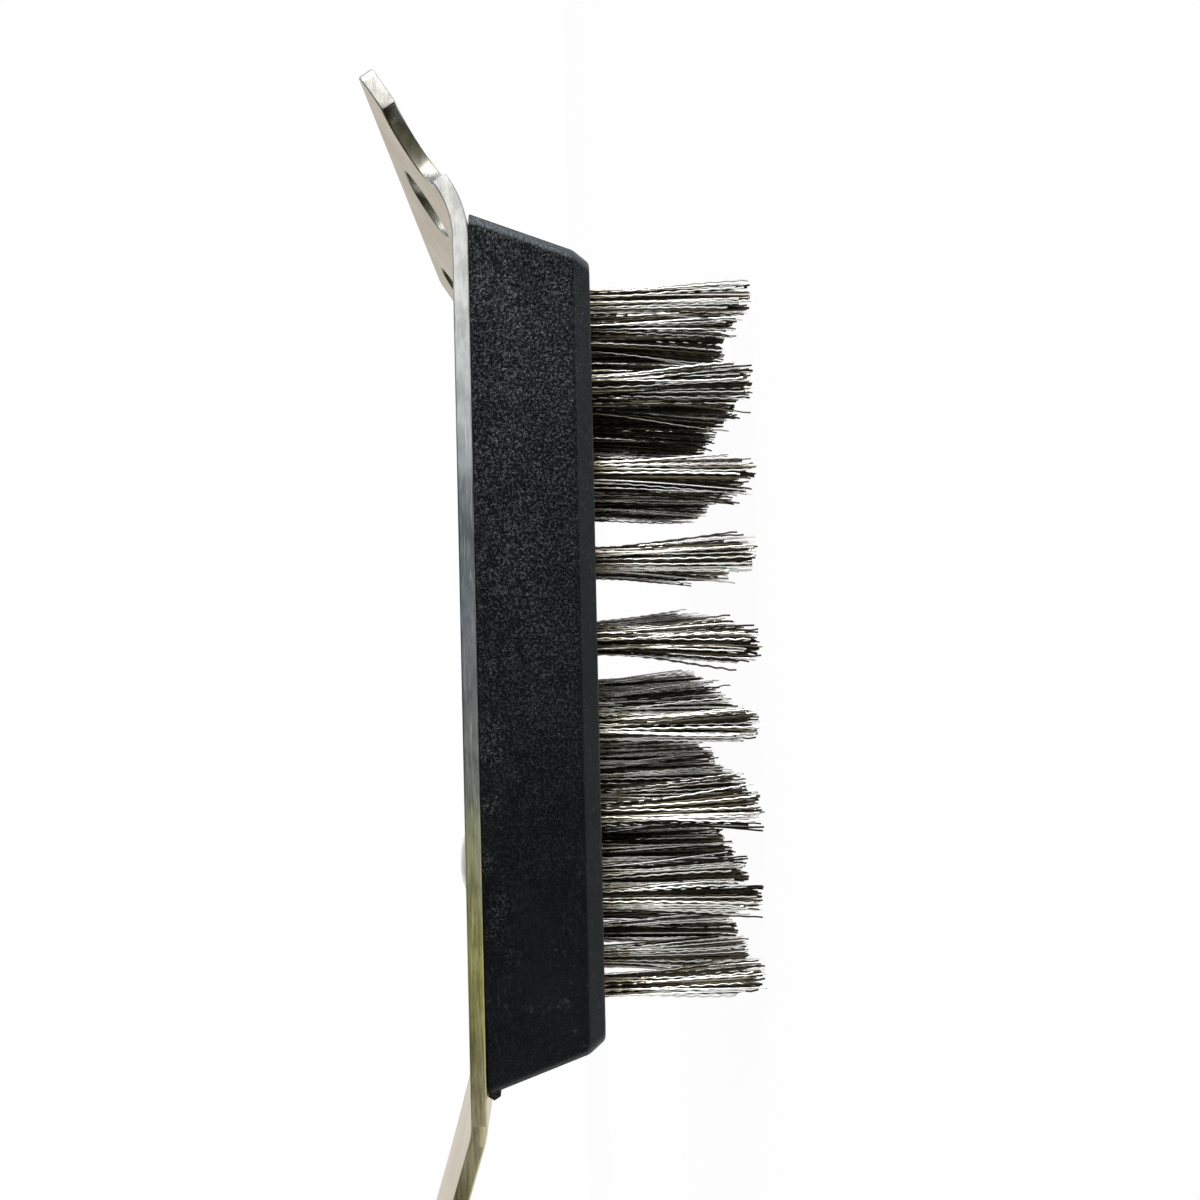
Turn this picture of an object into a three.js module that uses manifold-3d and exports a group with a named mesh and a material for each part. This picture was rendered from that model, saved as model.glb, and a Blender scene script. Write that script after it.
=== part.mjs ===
// Hand wire brush with a scraper. One bent stainless sheet is scraper, back plate and tang. A moulded
// block with its tufts is screwed under it, and two grip scales are riveted to the tang.
// Millimetres. X runs across the brush, +Y towards the scraper, +Z from the bristle tips to the sheet.
import * as THREE from "three";
import { mergeGeometries, mergeVertices } from "three/addons/utils/BufferGeometryUtils.js";
import Module from "manifold-3d";

const wasm = await Module();
wasm.setup();

// Head: sheet over block over bristles
const headWidth = 83;
const sheetThickness = 2;
const blockLength = 108;
const blockHeight = 14.6;
const bristleLength = 21;

// Block moulding
const blockEndDraft = 19.5;
const blockSideDraft = 1.5;
const blockCornerRadius = 2;
const chamferHeight = 2;
const chamferDepth = 0.7;
const gateNubWidth = 1.8;
const gateNubProud = 0.5;
const gateNubHeight = 1.6;
const gateNubFromSide = 3;

// Tufts and the beds that they are rooted in
const tuftColumns = 9;
const tuftRows = 7;
const bedNames = ["tuft_bed_handle_end", "tuft_bed_middle", "tuft_bed_scraper_end"];
const tuftEndMargin = 3.85;
const tuftSideMargin = 7.4;
const tuftFieldShift = 0.75;
const bedDepth = 0.9;
const bedBorder = 2.4;
const tuftRootRadius = 1.05;
const tuftTipRadius = 2.25;
const strandRadius = 0.45;
const strandRootDepth = 0.5;
const strandSides = 3;
const strandsRound = 6;
const strandKneeShare = 0.55;
const strandFlareShare = 0.4;
const fieldSplay = 0.9;
const standCut = 0.5;
const tipRaggedness = 1.2;

// Bends of the sheet
const tabBendRadius = 13.4;
const shankBendRadius = 9;
const tabAngle = 33.8;
const shankAngle = 17.1;
const tabBendInset = 3.5;
const shankBendOffset = 3;
const bendSteps = 8;

// Scraper tab
const notchFromTip = 5.3;
const notchDiameter = 10.6;
const notchDepth = 5;
const notchToBend = 0.5;
const tabHoleDiameter = 10.3;
const tabHoleFromSide = 20.5;
const tabHoleForward = 0.6;
const tipCornerRadius = 1.4;

// Shank and tang
const shoulderStart = 6.5;
const shoulderLength = 26;
const tangWidth = 26;
const gripStart = 8;
const gripLength = 105;
const gripThickness = 8.5;
const gripToHole = 4.5;
const hangHoleDiameter = 10;

// Fasteners
const fitClearance = 0.3;
const screwShankDiameter = 4;
const screwLength = 11;
const screwPointLength = 3;
const screwHeadDiameter = 10.5;
const screwHeadHeight = 2.6;
const screwRimHeight = 0.5;
const recessSpan = 5;
const recessBar = 1.1;
const recessDepth = 1.5;
const screwFromSide = 20;
const screwFromBlockEnd = 24.4;
const rivetShankDiameter = 5;
const rivetHeadDiameter = 8.5;
const rivetHeadHeight = 1.5;
const rivetRimHeight = 0.5;
const rivetSeatDepth = 2.6;
const rivetFromGripEnd = 15;
const rivetNames = ["grip_rivet_fore", "grip_rivet_mid", "grip_rivet_aft"];

// Facet counts
const arcSteps = 10;
const roundSteps = 3;
const turnedSides = 20;
const gripSectionSteps = 10;
const weldShare = 0.0001;

// Worked-out sizes
const halfWidth = headWidth / 2;
const halfBlock = blockLength / 2;
const faceZ = bristleLength;
const plateZ = faceZ + blockHeight;
const plateBackZ = plateZ + sheetThickness;
const cutOverrun = sheetThickness;
const weldLength = weldShare * sheetThickness;
const screwY = halfBlock - screwFromBlockEnd;
const screwBoreDiameter = screwShankDiameter + 2 * fitClearance;
const rivetBoreDiameter = rivetShankDiameter + 2 * fitClearance;
const tabBend = THREE.MathUtils.degToRad(tabAngle);
const shankBend = THREE.MathUtils.degToRad(shankAngle);
const tabLength = notchFromTip + notchDiameter + notchToBend;
const tabBendY = halfBlock - tabBendInset;
const shankBendY = -halfBlock - shankBendOffset;
const gripStartY = -(shoulderStart + shoulderLength + gripStart);
const gripEndY = gripStartY - gripLength;
const hangHoleY = gripEndY - gripToHole - hangHoleDiameter / 2;
const shankLength = tangWidth / 2 - hangHoleY;
const endDraftRun = Math.tan(THREE.MathUtils.degToRad(blockEndDraft));
const sideDraftRun = Math.tan(THREE.MathUtils.degToRad(blockSideDraft));
const faceHalfLength = halfBlock - blockHeight * endDraftRun - chamferDepth;
const faceHalfWidth = halfWidth - blockHeight * sideDraftRun - chamferDepth;
const tuftFieldHalfLength = faceHalfLength - tuftEndMargin;
const tuftFieldHalfWidth = faceHalfWidth - tuftSideMargin;
const columnPitch = 2 * tuftFieldHalfLength / (tuftColumns - 1);
const rowPitch = 2 * tuftFieldHalfWidth / (tuftRows - 1);

// A grip scale as [length share, height share, width share], from its front end to its rear end
const gripStationShares = [
  [0, 0.3, 0.78],
  [0.02, 0.62, 0.9],
  [0.06, 0.86, 0.98],
  [0.13, 0.96, 1],
  [0.26, 1, 1],
  [0.42, 0.93, 1],
  [0.58, 0.93, 1],
  [0.76, 1, 1],
  [0.88, 0.97, 1],
  [0.95, 0.86, 0.98],
  [0.985, 0.62, 0.9],
  [1, 0.3, 0.78],
];
const gripSquarenessShare = 0.55;

const stainless = { color: 0xb9b3a8, metalness: 1, roughness: 0.38 };
const blackMoulding = { color: 0x17181b, metalness: 0, roughness: 0.62 };
const wire = { color: 0x9d9a92, metalness: 1, roughness: 0.32 };
const plated = { color: 0xd2d0ca, metalness: 1, roughness: 0.22 };
const gripMoulding = { color: 0x1b1b1d, metalness: 0, roughness: 0.7 };

// Solids from geometries and back
function bare(geometry) {
  const copy = geometry.index ? geometry.toNonIndexed() : geometry.clone();
  copy.deleteAttribute("normal");
  copy.deleteAttribute("uv");
  return copy;
}

// One closed skin: equal corners joined, and the faces left out that shrank to a line on an axis
function welded(geometry) {
  const merged = mergeVertices(bare(geometry), weldLength);
  const corners = merged.index.array;
  const faces = [];
  for (let i = 0; i < corners.length; i += 3) {
    const [a, b, c] = corners.slice(i, i + 3);
    if (a !== b && b !== c && c !== a) {
      faces.push(a, b, c);
    }
  }
  merged.setIndex(faces);
  return merged;
}

function toSolid(geometry) {
  const skin = welded(geometry);
  return new wasm.Manifold(new wasm.Mesh({
    numProp: 3,
    vertProperties: new Float32Array(skin.attributes.position.array),
    triVerts: new Uint32Array(skin.index.array),
  }));
}

function toGeometry(solid) {
  const mesh = solid.getMesh();
  const geometry = new THREE.BufferGeometry();
  geometry.setAttribute("position", new THREE.BufferAttribute(new Float32Array(mesh.vertProperties), 3));
  geometry.setIndex(new THREE.BufferAttribute(new Uint32Array(mesh.triVerts), 1));
  return geometry;
}

// A closed skin over rings of points that run anticlockwise about the direction of the rings
function loft(rings) {
  const count = rings[0].length;
  const points = rings.flat();
  const faces = [];
  for (let r = 0; r < rings.length - 1; r += 1) {
    for (let i = 0; i < count; i += 1) {
      const a = r * count + i;
      const b = r * count + (i + 1) % count;
      faces.push(a, b, b + count, a, b + count, a + count);
    }
  }
  const last = (rings.length - 1) * count;
  for (let i = 1; i < count - 1; i += 1) {
    faces.push(0, i + 1, i);
    faces.push(last, last + i, last + i + 1);
  }
  const geometry = new THREE.BufferGeometry().setFromPoints(points);
  geometry.setIndex(faces);
  return geometry;
}

function boxAt(sizeX, sizeY, sizeZ, x, y, z) {
  return new THREE.BoxGeometry(sizeX, sizeY, sizeZ).translate(x, y, z);
}

// A round bar along Z from its lower end
function barAt(diameter, length, x, y, lowZ) {
  const bar = new THREE.CylinderGeometry(diameter / 2, diameter / 2, length, turnedSides);
  return bar.rotateX(Math.PI / 2).translate(x, y, lowZ + length / 2);
}

// A turned piece along Z from [radius, height] pairs that run upwards and start and end on the axis
function turned(profile) {
  const points = profile.map(([radius, height]) => new THREE.Vector2(radius, height));
  return new THREE.LatheGeometry(points, turnedSides).rotateX(Math.PI / 2);
}

// The sheet is drawn in flat zones: x across, v along the sheet towards the scraper, t from its front face.
// Each zone is folded into place, and the walls where two zones meet are left out.
function sheetZone(geometry, seams, place) {
  const flat = bare(geometry).attributes.position;
  const kept = [];
  const corner = new THREE.Vector3();
  for (let i = 0; i < flat.count; i += 3) {
    const isAt = (v) => [0, 1, 2].every((k) => Math.abs(flat.getY(i + k) - v) < weldLength);
    const onSeam = seams.some(isAt);
    for (let k = 0; k < 3 && !onSeam; k += 1) {
      corner.fromBufferAttribute(flat, i + k);
      kept.push(...place(corner.x, corner.y, corner.z));
    }
  }
  const zone = new THREE.BufferGeometry();
  zone.setAttribute("position", new THREE.Float32BufferAttribute(kept, 3));
  return zone;
}

// The two bends: where each starts, which way along Y it runs, its radius on the front face, its full turn
const tabTurn = { startY: tabBendY, side: 1, radius: tabBendRadius, turn: tabBend };
const shankTurn = { startY: shankBendY, side: -1, radius: shankBendRadius, turn: shankBend };

// A point in a bend, turned by angle about the bend's centre line
function onBend(bend, x, angle, t) {
  const reach = bend.radius - t;
  const y = bend.startY + bend.side * reach * Math.sin(angle);
  return [x, y, plateZ + bend.radius - reach * Math.cos(angle)];
}

function bendZone(bend) {
  const strip = new THREE.BoxGeometry(headWidth, bendSteps, sheetThickness, 1, bendSteps, 1);
  strip.translate(0, bend.side * bendSteps / 2, sheetThickness / 2);
  const place = (x, v, t) => onBend(bend, x, bend.turn * Math.abs(v) / bendSteps, t);
  return sheetZone(strip, [0, bend.side * bendSteps], place);
}

// A point on the straight sheet past a bend, v along the sheet from the bend's end
function pastBend(bend) {
  return (x, v, t) => {
    const [, y, z] = onBend(bend, x, bend.turn, t);
    return [x, y + v * Math.cos(bend.turn), z + bend.side * v * Math.sin(bend.turn)];
  };
}

function roundHole(x, y, diameter) {
  const hole = new THREE.Path();
  hole.absarc(x, y, diameter / 2, 0, 2 * Math.PI, true);
  return hole;
}

function extrudeSheet(shape) {
  const settings = { depth: sheetThickness, bevelEnabled: false, curveSegments: arcSteps };
  return new THREE.ExtrudeGeometry(shape, settings);
}

// The tab's outline: a notch in each side, rounded tip corners and two round holes
function tabZone() {
  const notchV = tabLength - notchFromTip - notchDiameter / 2;
  const notchRadius = notchDiameter / 2;
  const notchX = halfWidth + notchRadius - notchDepth;
  const mouth = Math.acos((notchRadius - notchDepth) / notchRadius);
  const cornerX = halfWidth - tipCornerRadius;
  const cornerV = tabLength - tipCornerRadius;
  const shape = new THREE.Shape();
  shape.moveTo(-halfWidth, 0);
  shape.lineTo(halfWidth, 0);
  shape.absarc(notchX, notchV, notchRadius, Math.PI + mouth, Math.PI - mouth, true);
  shape.absarc(cornerX, cornerV, tipCornerRadius, 0, Math.PI / 2, false);
  shape.absarc(-cornerX, cornerV, tipCornerRadius, Math.PI / 2, Math.PI, false);
  shape.absarc(-notchX, notchV, notchRadius, mouth, -mouth, true);
  for (const side of [-1, 1]) {
    const holeX = side * (halfWidth - tabHoleFromSide);
    shape.holes.push(roundHole(holeX, notchV + tabHoleForward, tabHoleDiameter));
  }
  return sheetZone(extrudeSheet(shape), [0], pastBend(tabTurn));
}

// Where the three screws stand: two near the sides at the handle end, one in the middle at the scraper end
const screwPlaces = [
  { name: "plate_screw_left", x: screwFromSide - halfWidth, y: -screwY },
  { name: "plate_screw_right", x: halfWidth - screwFromSide, y: -screwY },
  { name: "plate_screw_scraper_end", x: 0, y: screwY },
];

// The flat sheet behind the block: a bored stretch, the plain one between the screws, and a bored one
function headZones() {
  const plainEndY = screwY - screwHeadDiameter;
  const ends = [shankBendY, -plainEndY, plainEndY, tabBendY];
  return ends.slice(1).map((high, index) => {
    const low = ends[index];
    const shape = new THREE.Shape();
    shape.moveTo(-halfWidth, low);
    shape.lineTo(halfWidth, low);
    shape.lineTo(halfWidth, high);
    shape.lineTo(-halfWidth, high);
    for (const screw of screwPlaces.filter(({ y }) => y > low && y < high)) {
      shape.holes.push(roundHole(screw.x, screw.y, screwBoreDiameter));
    }
    return sheetZone(extrudeSheet(shape), [low, high], (x, v, t) => [x, v, plateZ + t]);
  });
}

function rivetY(index) {
  const first = gripStartY - rivetFromGripEnd;
  const last = gripEndY + rivetFromGripEnd;
  return first + (last - first) * index / (rivetNames.length - 1);
}

// The shank: full width past the bend, swept in over the shoulders, then a tang with a round end
function shankZone() {
  const shoulderV = -shoulderStart;
  const tangV = shoulderV - shoulderLength;
  const middleV = (shoulderV + tangV) / 2;
  const halfTang = tangWidth / 2;
  const shape = new THREE.Shape();
  shape.moveTo(halfWidth, 0);
  shape.lineTo(-halfWidth, 0);
  shape.lineTo(-halfWidth, shoulderV);
  shape.bezierCurveTo(-halfWidth, middleV, -halfTang, middleV, -halfTang, tangV);
  shape.absarc(0, hangHoleY, halfTang, Math.PI, 2 * Math.PI, false);
  shape.lineTo(halfTang, tangV);
  shape.bezierCurveTo(halfTang, middleV, halfWidth, middleV, halfWidth, shoulderV);
  shape.holes.push(roundHole(0, hangHoleY, hangHoleDiameter));
  rivetNames.forEach((name, index) => {
    shape.holes.push(roundHole(0, rivetY(index), rivetBoreDiameter));
  });
  return sheetZone(extrudeSheet(shape), [0], pastBend(shankTurn));
}

function backPlate() {
  const zones = [
    tabZone(),
    bendZone(tabTurn),
    ...headZones(),
    bendZone(shankTurn),
    shankZone(),
  ];
  return welded(mergeGeometries(zones));
}

// One level of the block: a rounded rectangle, drawn in by the draft and by the chamfer at the bristle face
function blockRing(height, drawnIn) {
  const outX = halfWidth - sideDraftRun * height - drawnIn;
  const outY = halfBlock - endDraftRun * height - drawnIn;
  const corners = [[1, 1], [-1, 1], [-1, -1], [1, -1]];
  return corners.flatMap(([signX, signY], quarter) => {
    const steps = Array.from({ length: roundSteps + 1 }, (_, i) => (quarter + i / roundSteps) * Math.PI / 2);
    return steps.map((angle) => new THREE.Vector3(
      signX * (outX - blockCornerRadius) + blockCornerRadius * Math.cos(angle),
      signY * (outY - blockCornerRadius) + blockCornerRadius * Math.sin(angle),
      plateZ - height,
    ));
  });
}

// The leftover of the mould's gate, a small wedge low on the handle end
function gateNub() {
  const rootY = gateNubHeight;
  const shape = new THREE.Shape();
  shape.moveTo(rootY, 0);
  shape.lineTo(0, 0);
  shape.lineTo(-gateNubProud, -gateNubHeight / 2);
  shape.lineTo(0, -gateNubHeight);
  shape.lineTo(rootY, -gateNubHeight);
  const depth = gateNubWidth;
  const wedge = new THREE.ExtrudeGeometry(shape, { depth, bevelEnabled: false });
  wedge.rotateX(Math.PI / 2).rotateZ(Math.PI / 2);
  return wedge.translate(halfWidth - gateNubFromSide, -halfBlock, plateZ);
}

function bedSpan(index) {
  const columnsEach = tuftColumns / bedNames.length;
  const edge = (columns) => (columns - tuftColumns / 2) * columnPitch + tuftFieldShift;
  const outer = tuftFieldHalfLength + bedBorder;
  const low = index === 0 ? tuftFieldShift - outer : edge(index * columnsEach);
  const high = index === bedNames.length - 1 ? tuftFieldShift + outer : edge((index + 1) * columnsEach);
  return { low, high, columnsEach };
}

function brushBlock() {
  const rings = [
    blockRing(blockHeight, chamferDepth),
    blockRing(blockHeight - chamferHeight, 0),
    blockRing(0, 0),
  ];
  let block = toSolid(loft(rings)).add(toSolid(gateNub()));
  const bedWidth = 2 * (tuftFieldHalfWidth + bedBorder);
  const bedLength = 2 * (tuftFieldHalfLength + bedBorder);
  const pocketZ = faceZ + bedDepth / 2;
  block = block.subtract(toSolid(boxAt(bedWidth, bedLength, bedDepth, 0, tuftFieldShift, pocketZ)));
  for (const place of screwPlaces) {
    const boreDepth = screwLength - sheetThickness + fitClearance;
    const bore = barAt(screwBoreDiameter, boreDepth + cutOverrun, place.x, place.y, plateZ - boreDepth);
    block = block.subtract(toSolid(bore));
  }
  return toGeometry(block);
}

// One strand: a three-sided prism from its root in the bed, over its knee, to its tip
function strand(tuftX, tuftY, ring, angle, ragged) {
  const splayX = fieldSplay * tuftX / tuftFieldHalfWidth;
  const splayY = fieldSplay * (tuftY - tuftFieldShift) / tuftFieldHalfLength;
  const levels = [
    { z: -standCut + ragged, flare: 1 },
    { z: faceZ * (1 - strandKneeShare), flare: strandFlareShare },
    { z: faceZ + strandRootDepth, flare: 0 },
  ];
  return loft(levels.map(({ z, flare }) => {
    const out = ring * THREE.MathUtils.lerp(tuftRootRadius, tuftTipRadius, flare);
    const x = tuftX + out * Math.cos(angle) + splayX * flare;
    const y = tuftY + out * Math.sin(angle) + splayY * flare;
    return Array.from({ length: strandSides }, (_, i) => {
      const turn = angle + i * 2 * Math.PI / strandSides;
      return new THREE.Vector3(x + strandRadius * Math.cos(turn), y + strandRadius * Math.sin(turn), z);
    });
  }));
}

// A slice of the block's bristle face with three columns of tufts rooted in it
function tuftBed(index) {
  const { low, high, columnsEach } = bedSpan(index);
  const goldenTurn = Math.PI * (3 - Math.sqrt(5));
  const goldenShare = (Math.sqrt(5) - 1) / 2;
  const strands = [];
  for (let column = index * columnsEach; column < (index + 1) * columnsEach; column += 1) {
    for (let row = 0; row < tuftRows; row += 1) {
      const tuftX = row * rowPitch - tuftFieldHalfWidth;
      const tuftY = column * columnPitch - tuftFieldHalfLength + tuftFieldShift;
      const tuft = column * tuftRows + row;
      for (let i = 0; i <= strandsRound; i += 1) {
        const angle = tuft * goldenTurn + i * 2 * Math.PI / strandsRound;
        const number = tuft * (strandsRound + 1) + i;
        const ragged = tipRaggedness * ((number * goldenShare) % 1);
        strands.push(strand(tuftX, tuftY, i < strandsRound ? 1 : 0, angle, ragged));
      }
    }
  }
  const bedWidth = 2 * (tuftFieldHalfWidth + bedBorder);
  const slice = toSolid(boxAt(bedWidth, high - low, bedDepth, 0, (high + low) / 2, faceZ + bedDepth / 2));
  const below = toSolid(boxAt(2 * headWidth, 2 * blockLength, 2 * standCut, 0, 0, -standCut));
  return toGeometry(slice.add(toSolid(mergeGeometries(strands.map(bare)))).subtract(below));
}

// A domed head's outline from its rim to its crown
function domeProfile(radius, rimZ, crownZ) {
  return Array.from({ length: roundSteps + 1 }, (_, i) => {
    const turn = (i / roundSteps) * Math.PI / 2;
    const r = i === roundSteps ? 0 : radius * Math.cos(turn);
    return [r, rimZ + (crownZ - rimZ) * Math.sin(turn)];
  });
}

// A tapping screw, its head's seat at height zero and its crown upwards, with a cross recess
function plateScrew() {
  const shankRadius = screwShankDiameter / 2;
  const headRadius = screwHeadDiameter / 2;
  const body = toSolid(turned([
    [0, -screwLength],
    [shankRadius, screwPointLength - screwLength],
    [shankRadius, 0],
    [headRadius, 0],
    ...domeProfile(headRadius, screwRimHeight, screwHeadHeight),
  ]));
  const recessZ = screwHeadHeight - recessDepth / 2 + cutOverrun / 2;
  const barHeight = recessDepth + cutOverrun;
  const across = toSolid(boxAt(recessSpan, recessBar, barHeight, 0, 0, recessZ));
  const along = toSolid(boxAt(recessBar, recessSpan, barHeight, 0, 0, recessZ));
  return toGeometry(body.subtract(across.add(along)));
}

const rivetSeatZ = gripThickness - rivetSeatDepth;

// A grip scale lying on height zero, its crown upwards, with a seat and a hole for each rivet
function gripScale() {
  const rings = gripStationShares.map(([lengthShare, heightShare, widthShare]) => {
    const y = gripStartY - gripLength * lengthShare;
    return Array.from({ length: gripSectionSteps + 1 }, (_, i) => {
      const turn = Math.PI * i / gripSectionSteps;
      const across = Math.sign(Math.cos(turn)) * Math.abs(Math.cos(turn)) ** gripSquarenessShare;
      const up = Math.abs(Math.sin(turn)) ** gripSquarenessShare;
      const foot = i === 0 || i === gripSectionSteps;
      const z = foot ? 0 : gripThickness * heightShare * up;
      return new THREE.Vector3(tangWidth / 2 * widthShare * across, y, z);
    });
  });
  let scale = toSolid(loft(rings));
  rivetNames.forEach((name, index) => {
    const y = rivetY(index);
    const hole = barAt(rivetBoreDiameter, gripThickness + 2 * cutOverrun, 0, y, -cutOverrun);
    const seat = barAt(rivetHeadDiameter + 2 * fitClearance, rivetSeatDepth + cutOverrun, 0, y, rivetSeatZ);
    scale = scale.subtract(toSolid(hole)).subtract(toSolid(seat));
  });
  return toGeometry(scale);
}

// A rivet with a domed head at both ends, its middle at height zero
function gripRivet() {
  const seat = sheetThickness / 2 + fitClearance + rivetSeatZ + fitClearance;
  const crown = seat + rivetHeadHeight;
  const head = domeProfile(rivetHeadDiameter / 2, seat + rivetRimHeight, crown);
  const lower = head.map(([r, z]) => [r, -z]).reverse();
  const shankRadius = rivetShankDiameter / 2;
  const headRadius = rivetHeadDiameter / 2;
  return welded(turned([
    ...lower,
    [headRadius, -seat],
    [shankRadius, -seat],
    [shankRadius, seat],
    [headRadius, seat],
    ...head,
  ]));
}

function piece(name, geometry, look) {
  const mesh = new THREE.Mesh(geometry, new THREE.MeshStandardMaterial(look));
  mesh.name = name;
  return mesh;
}

// The brush, with its origin under the middle of its whole length
const [, tipY] = pastBend(tabTurn)(0, tabLength, 0);
const [, endY] = pastBend(shankTurn)(0, -shankLength, 0);
const brush = new THREE.Group();
brush.position.y = -(tipY + endY) / 2;

brush.add(piece("back_plate", backPlate(), stainless));
brush.add(piece("brush_block", brushBlock(), blackMoulding));
bedNames.forEach((name, index) => brush.add(piece(name, tuftBed(index), wire)));

for (const place of screwPlaces) {
  const screw = piece(place.name, plateScrew(), plated);
  screw.position.set(place.x, place.y, plateBackZ);
  brush.add(screw);
}

// The grip follows the tang's slope: its group lies on the front face where the shank's bend ends
const handle = new THREE.Group();
handle.position.set(...onBend(shankTurn, 0, shankBend, 0));
handle.rotation.x = -shankBend;
brush.add(handle);

const backScale = piece("grip_scale_back", gripScale(), gripMoulding);
backScale.position.z = sheetThickness + fitClearance;
const frontScale = piece("grip_scale_front", gripScale(), gripMoulding);
frontScale.rotation.y = Math.PI;
frontScale.position.z = -fitClearance;
handle.add(backScale, frontScale);

rivetNames.forEach((name, index) => {
  const rivet = piece(name, gripRivet(), plated);
  rivet.position.set(0, rivetY(index), sheetThickness / 2);
  handle.add(rivet);
});

const root = new THREE.Group();
root.add(brush);

export default root;
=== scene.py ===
"""Wire brush with a scraper: a bent stainless sheet, a moulded block of crimped wire tufts, and a riveted grip.

Metres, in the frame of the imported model: X across the brush, +Y towards the scraper, +Z from the bristle
tips to the sheet.
"""

import math

import bmesh
import bpy
from bpy.props import FloatProperty, FloatVectorProperty, IntProperty, PointerProperty
from mathutils import Matrix, Vector


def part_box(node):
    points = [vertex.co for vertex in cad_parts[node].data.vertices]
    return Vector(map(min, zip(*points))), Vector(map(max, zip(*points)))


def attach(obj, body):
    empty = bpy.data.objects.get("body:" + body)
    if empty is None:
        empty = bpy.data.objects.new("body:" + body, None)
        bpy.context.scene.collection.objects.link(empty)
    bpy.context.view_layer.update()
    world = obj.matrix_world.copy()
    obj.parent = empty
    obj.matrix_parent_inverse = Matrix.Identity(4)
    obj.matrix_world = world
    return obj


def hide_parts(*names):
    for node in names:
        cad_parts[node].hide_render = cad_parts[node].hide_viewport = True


bl_info = {
    "name": "Wire Brush Maker",
    "version": (1, 0, 0),
    "blender": (4, 5, 0),
    "location": "View3D > Sidebar > Wire Brush",
    "description": "Builds a wire brush with a scraper around its packed solids",
    "category": "Object",
}

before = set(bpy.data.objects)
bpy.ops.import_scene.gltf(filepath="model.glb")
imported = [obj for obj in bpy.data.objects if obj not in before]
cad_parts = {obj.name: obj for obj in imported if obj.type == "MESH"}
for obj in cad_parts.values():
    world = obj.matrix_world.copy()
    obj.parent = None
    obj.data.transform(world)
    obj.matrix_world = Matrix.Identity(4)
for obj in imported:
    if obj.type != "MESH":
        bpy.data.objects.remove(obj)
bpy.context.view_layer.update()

MM = 0.001
BODY = "root"

SHEET_LOW, SHEET_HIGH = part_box("back_plate")
BLOCK_LOW, BLOCK_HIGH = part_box("brush_block")
FACE_Z = BLOCK_LOW.z
SHEET_FRONT_Z = BLOCK_HIGH.z
HALF_WIDTH = SHEET_HIGH.x
SCREW_NODES = ("plate_screw_left", "plate_screw_right", "plate_screw_scraper_end")
RIVET_NODES = ("grip_rivet_fore", "grip_rivet_mid", "grip_rivet_aft")
BED_NODES = ("tuft_bed_handle_end", "tuft_bed_middle", "tuft_bed_scraper_end")
BLOCK_LENGTH = 108 * MM
HEAD_Y = BLOCK_HIGH.y - BLOCK_LENGTH / 2

BEND_STEPS = 24
# Share of dark wires in the middle rows, and how much it drops in the outer rows: soil and painted shade
MIDDLE_SOIL_AND_SHADE = 0.47
SIDE_ROWS_CLEANER_AND_LIGHTER = 0.15
WORLD_STRENGTH = 0.5
# Name, power in watts, size, and place from the head's middle (x, y) and the tips' plane (z), in metres
LAMPS = (
    ("key", 5.5, 0.45, (0.34, 0.62, 0.20)),
    ("front", 2.8, 0.8, (0.72, 0.22, 0.10)),
    ("back", 0.4, 0.6, (-0.60, -0.35, 0.25)),
)


def middle(low_high):
    """The middle of a box."""
    low, high = low_high
    return (low + high) / 2


# Settings that a user would change


def length_setting(name, description, default):
    """A length in metres with the values that every length here shares."""
    return FloatProperty(name=name, description=description, default=default, min=0.0, unit="LENGTH", precision=5)


def colour_setting(name, description, default):
    """A surface colour."""
    return FloatVectorProperty(
        name=name, description=description, default=default, size=3, min=0.0, max=1.0, subtype="COLOR"
    )


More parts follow.
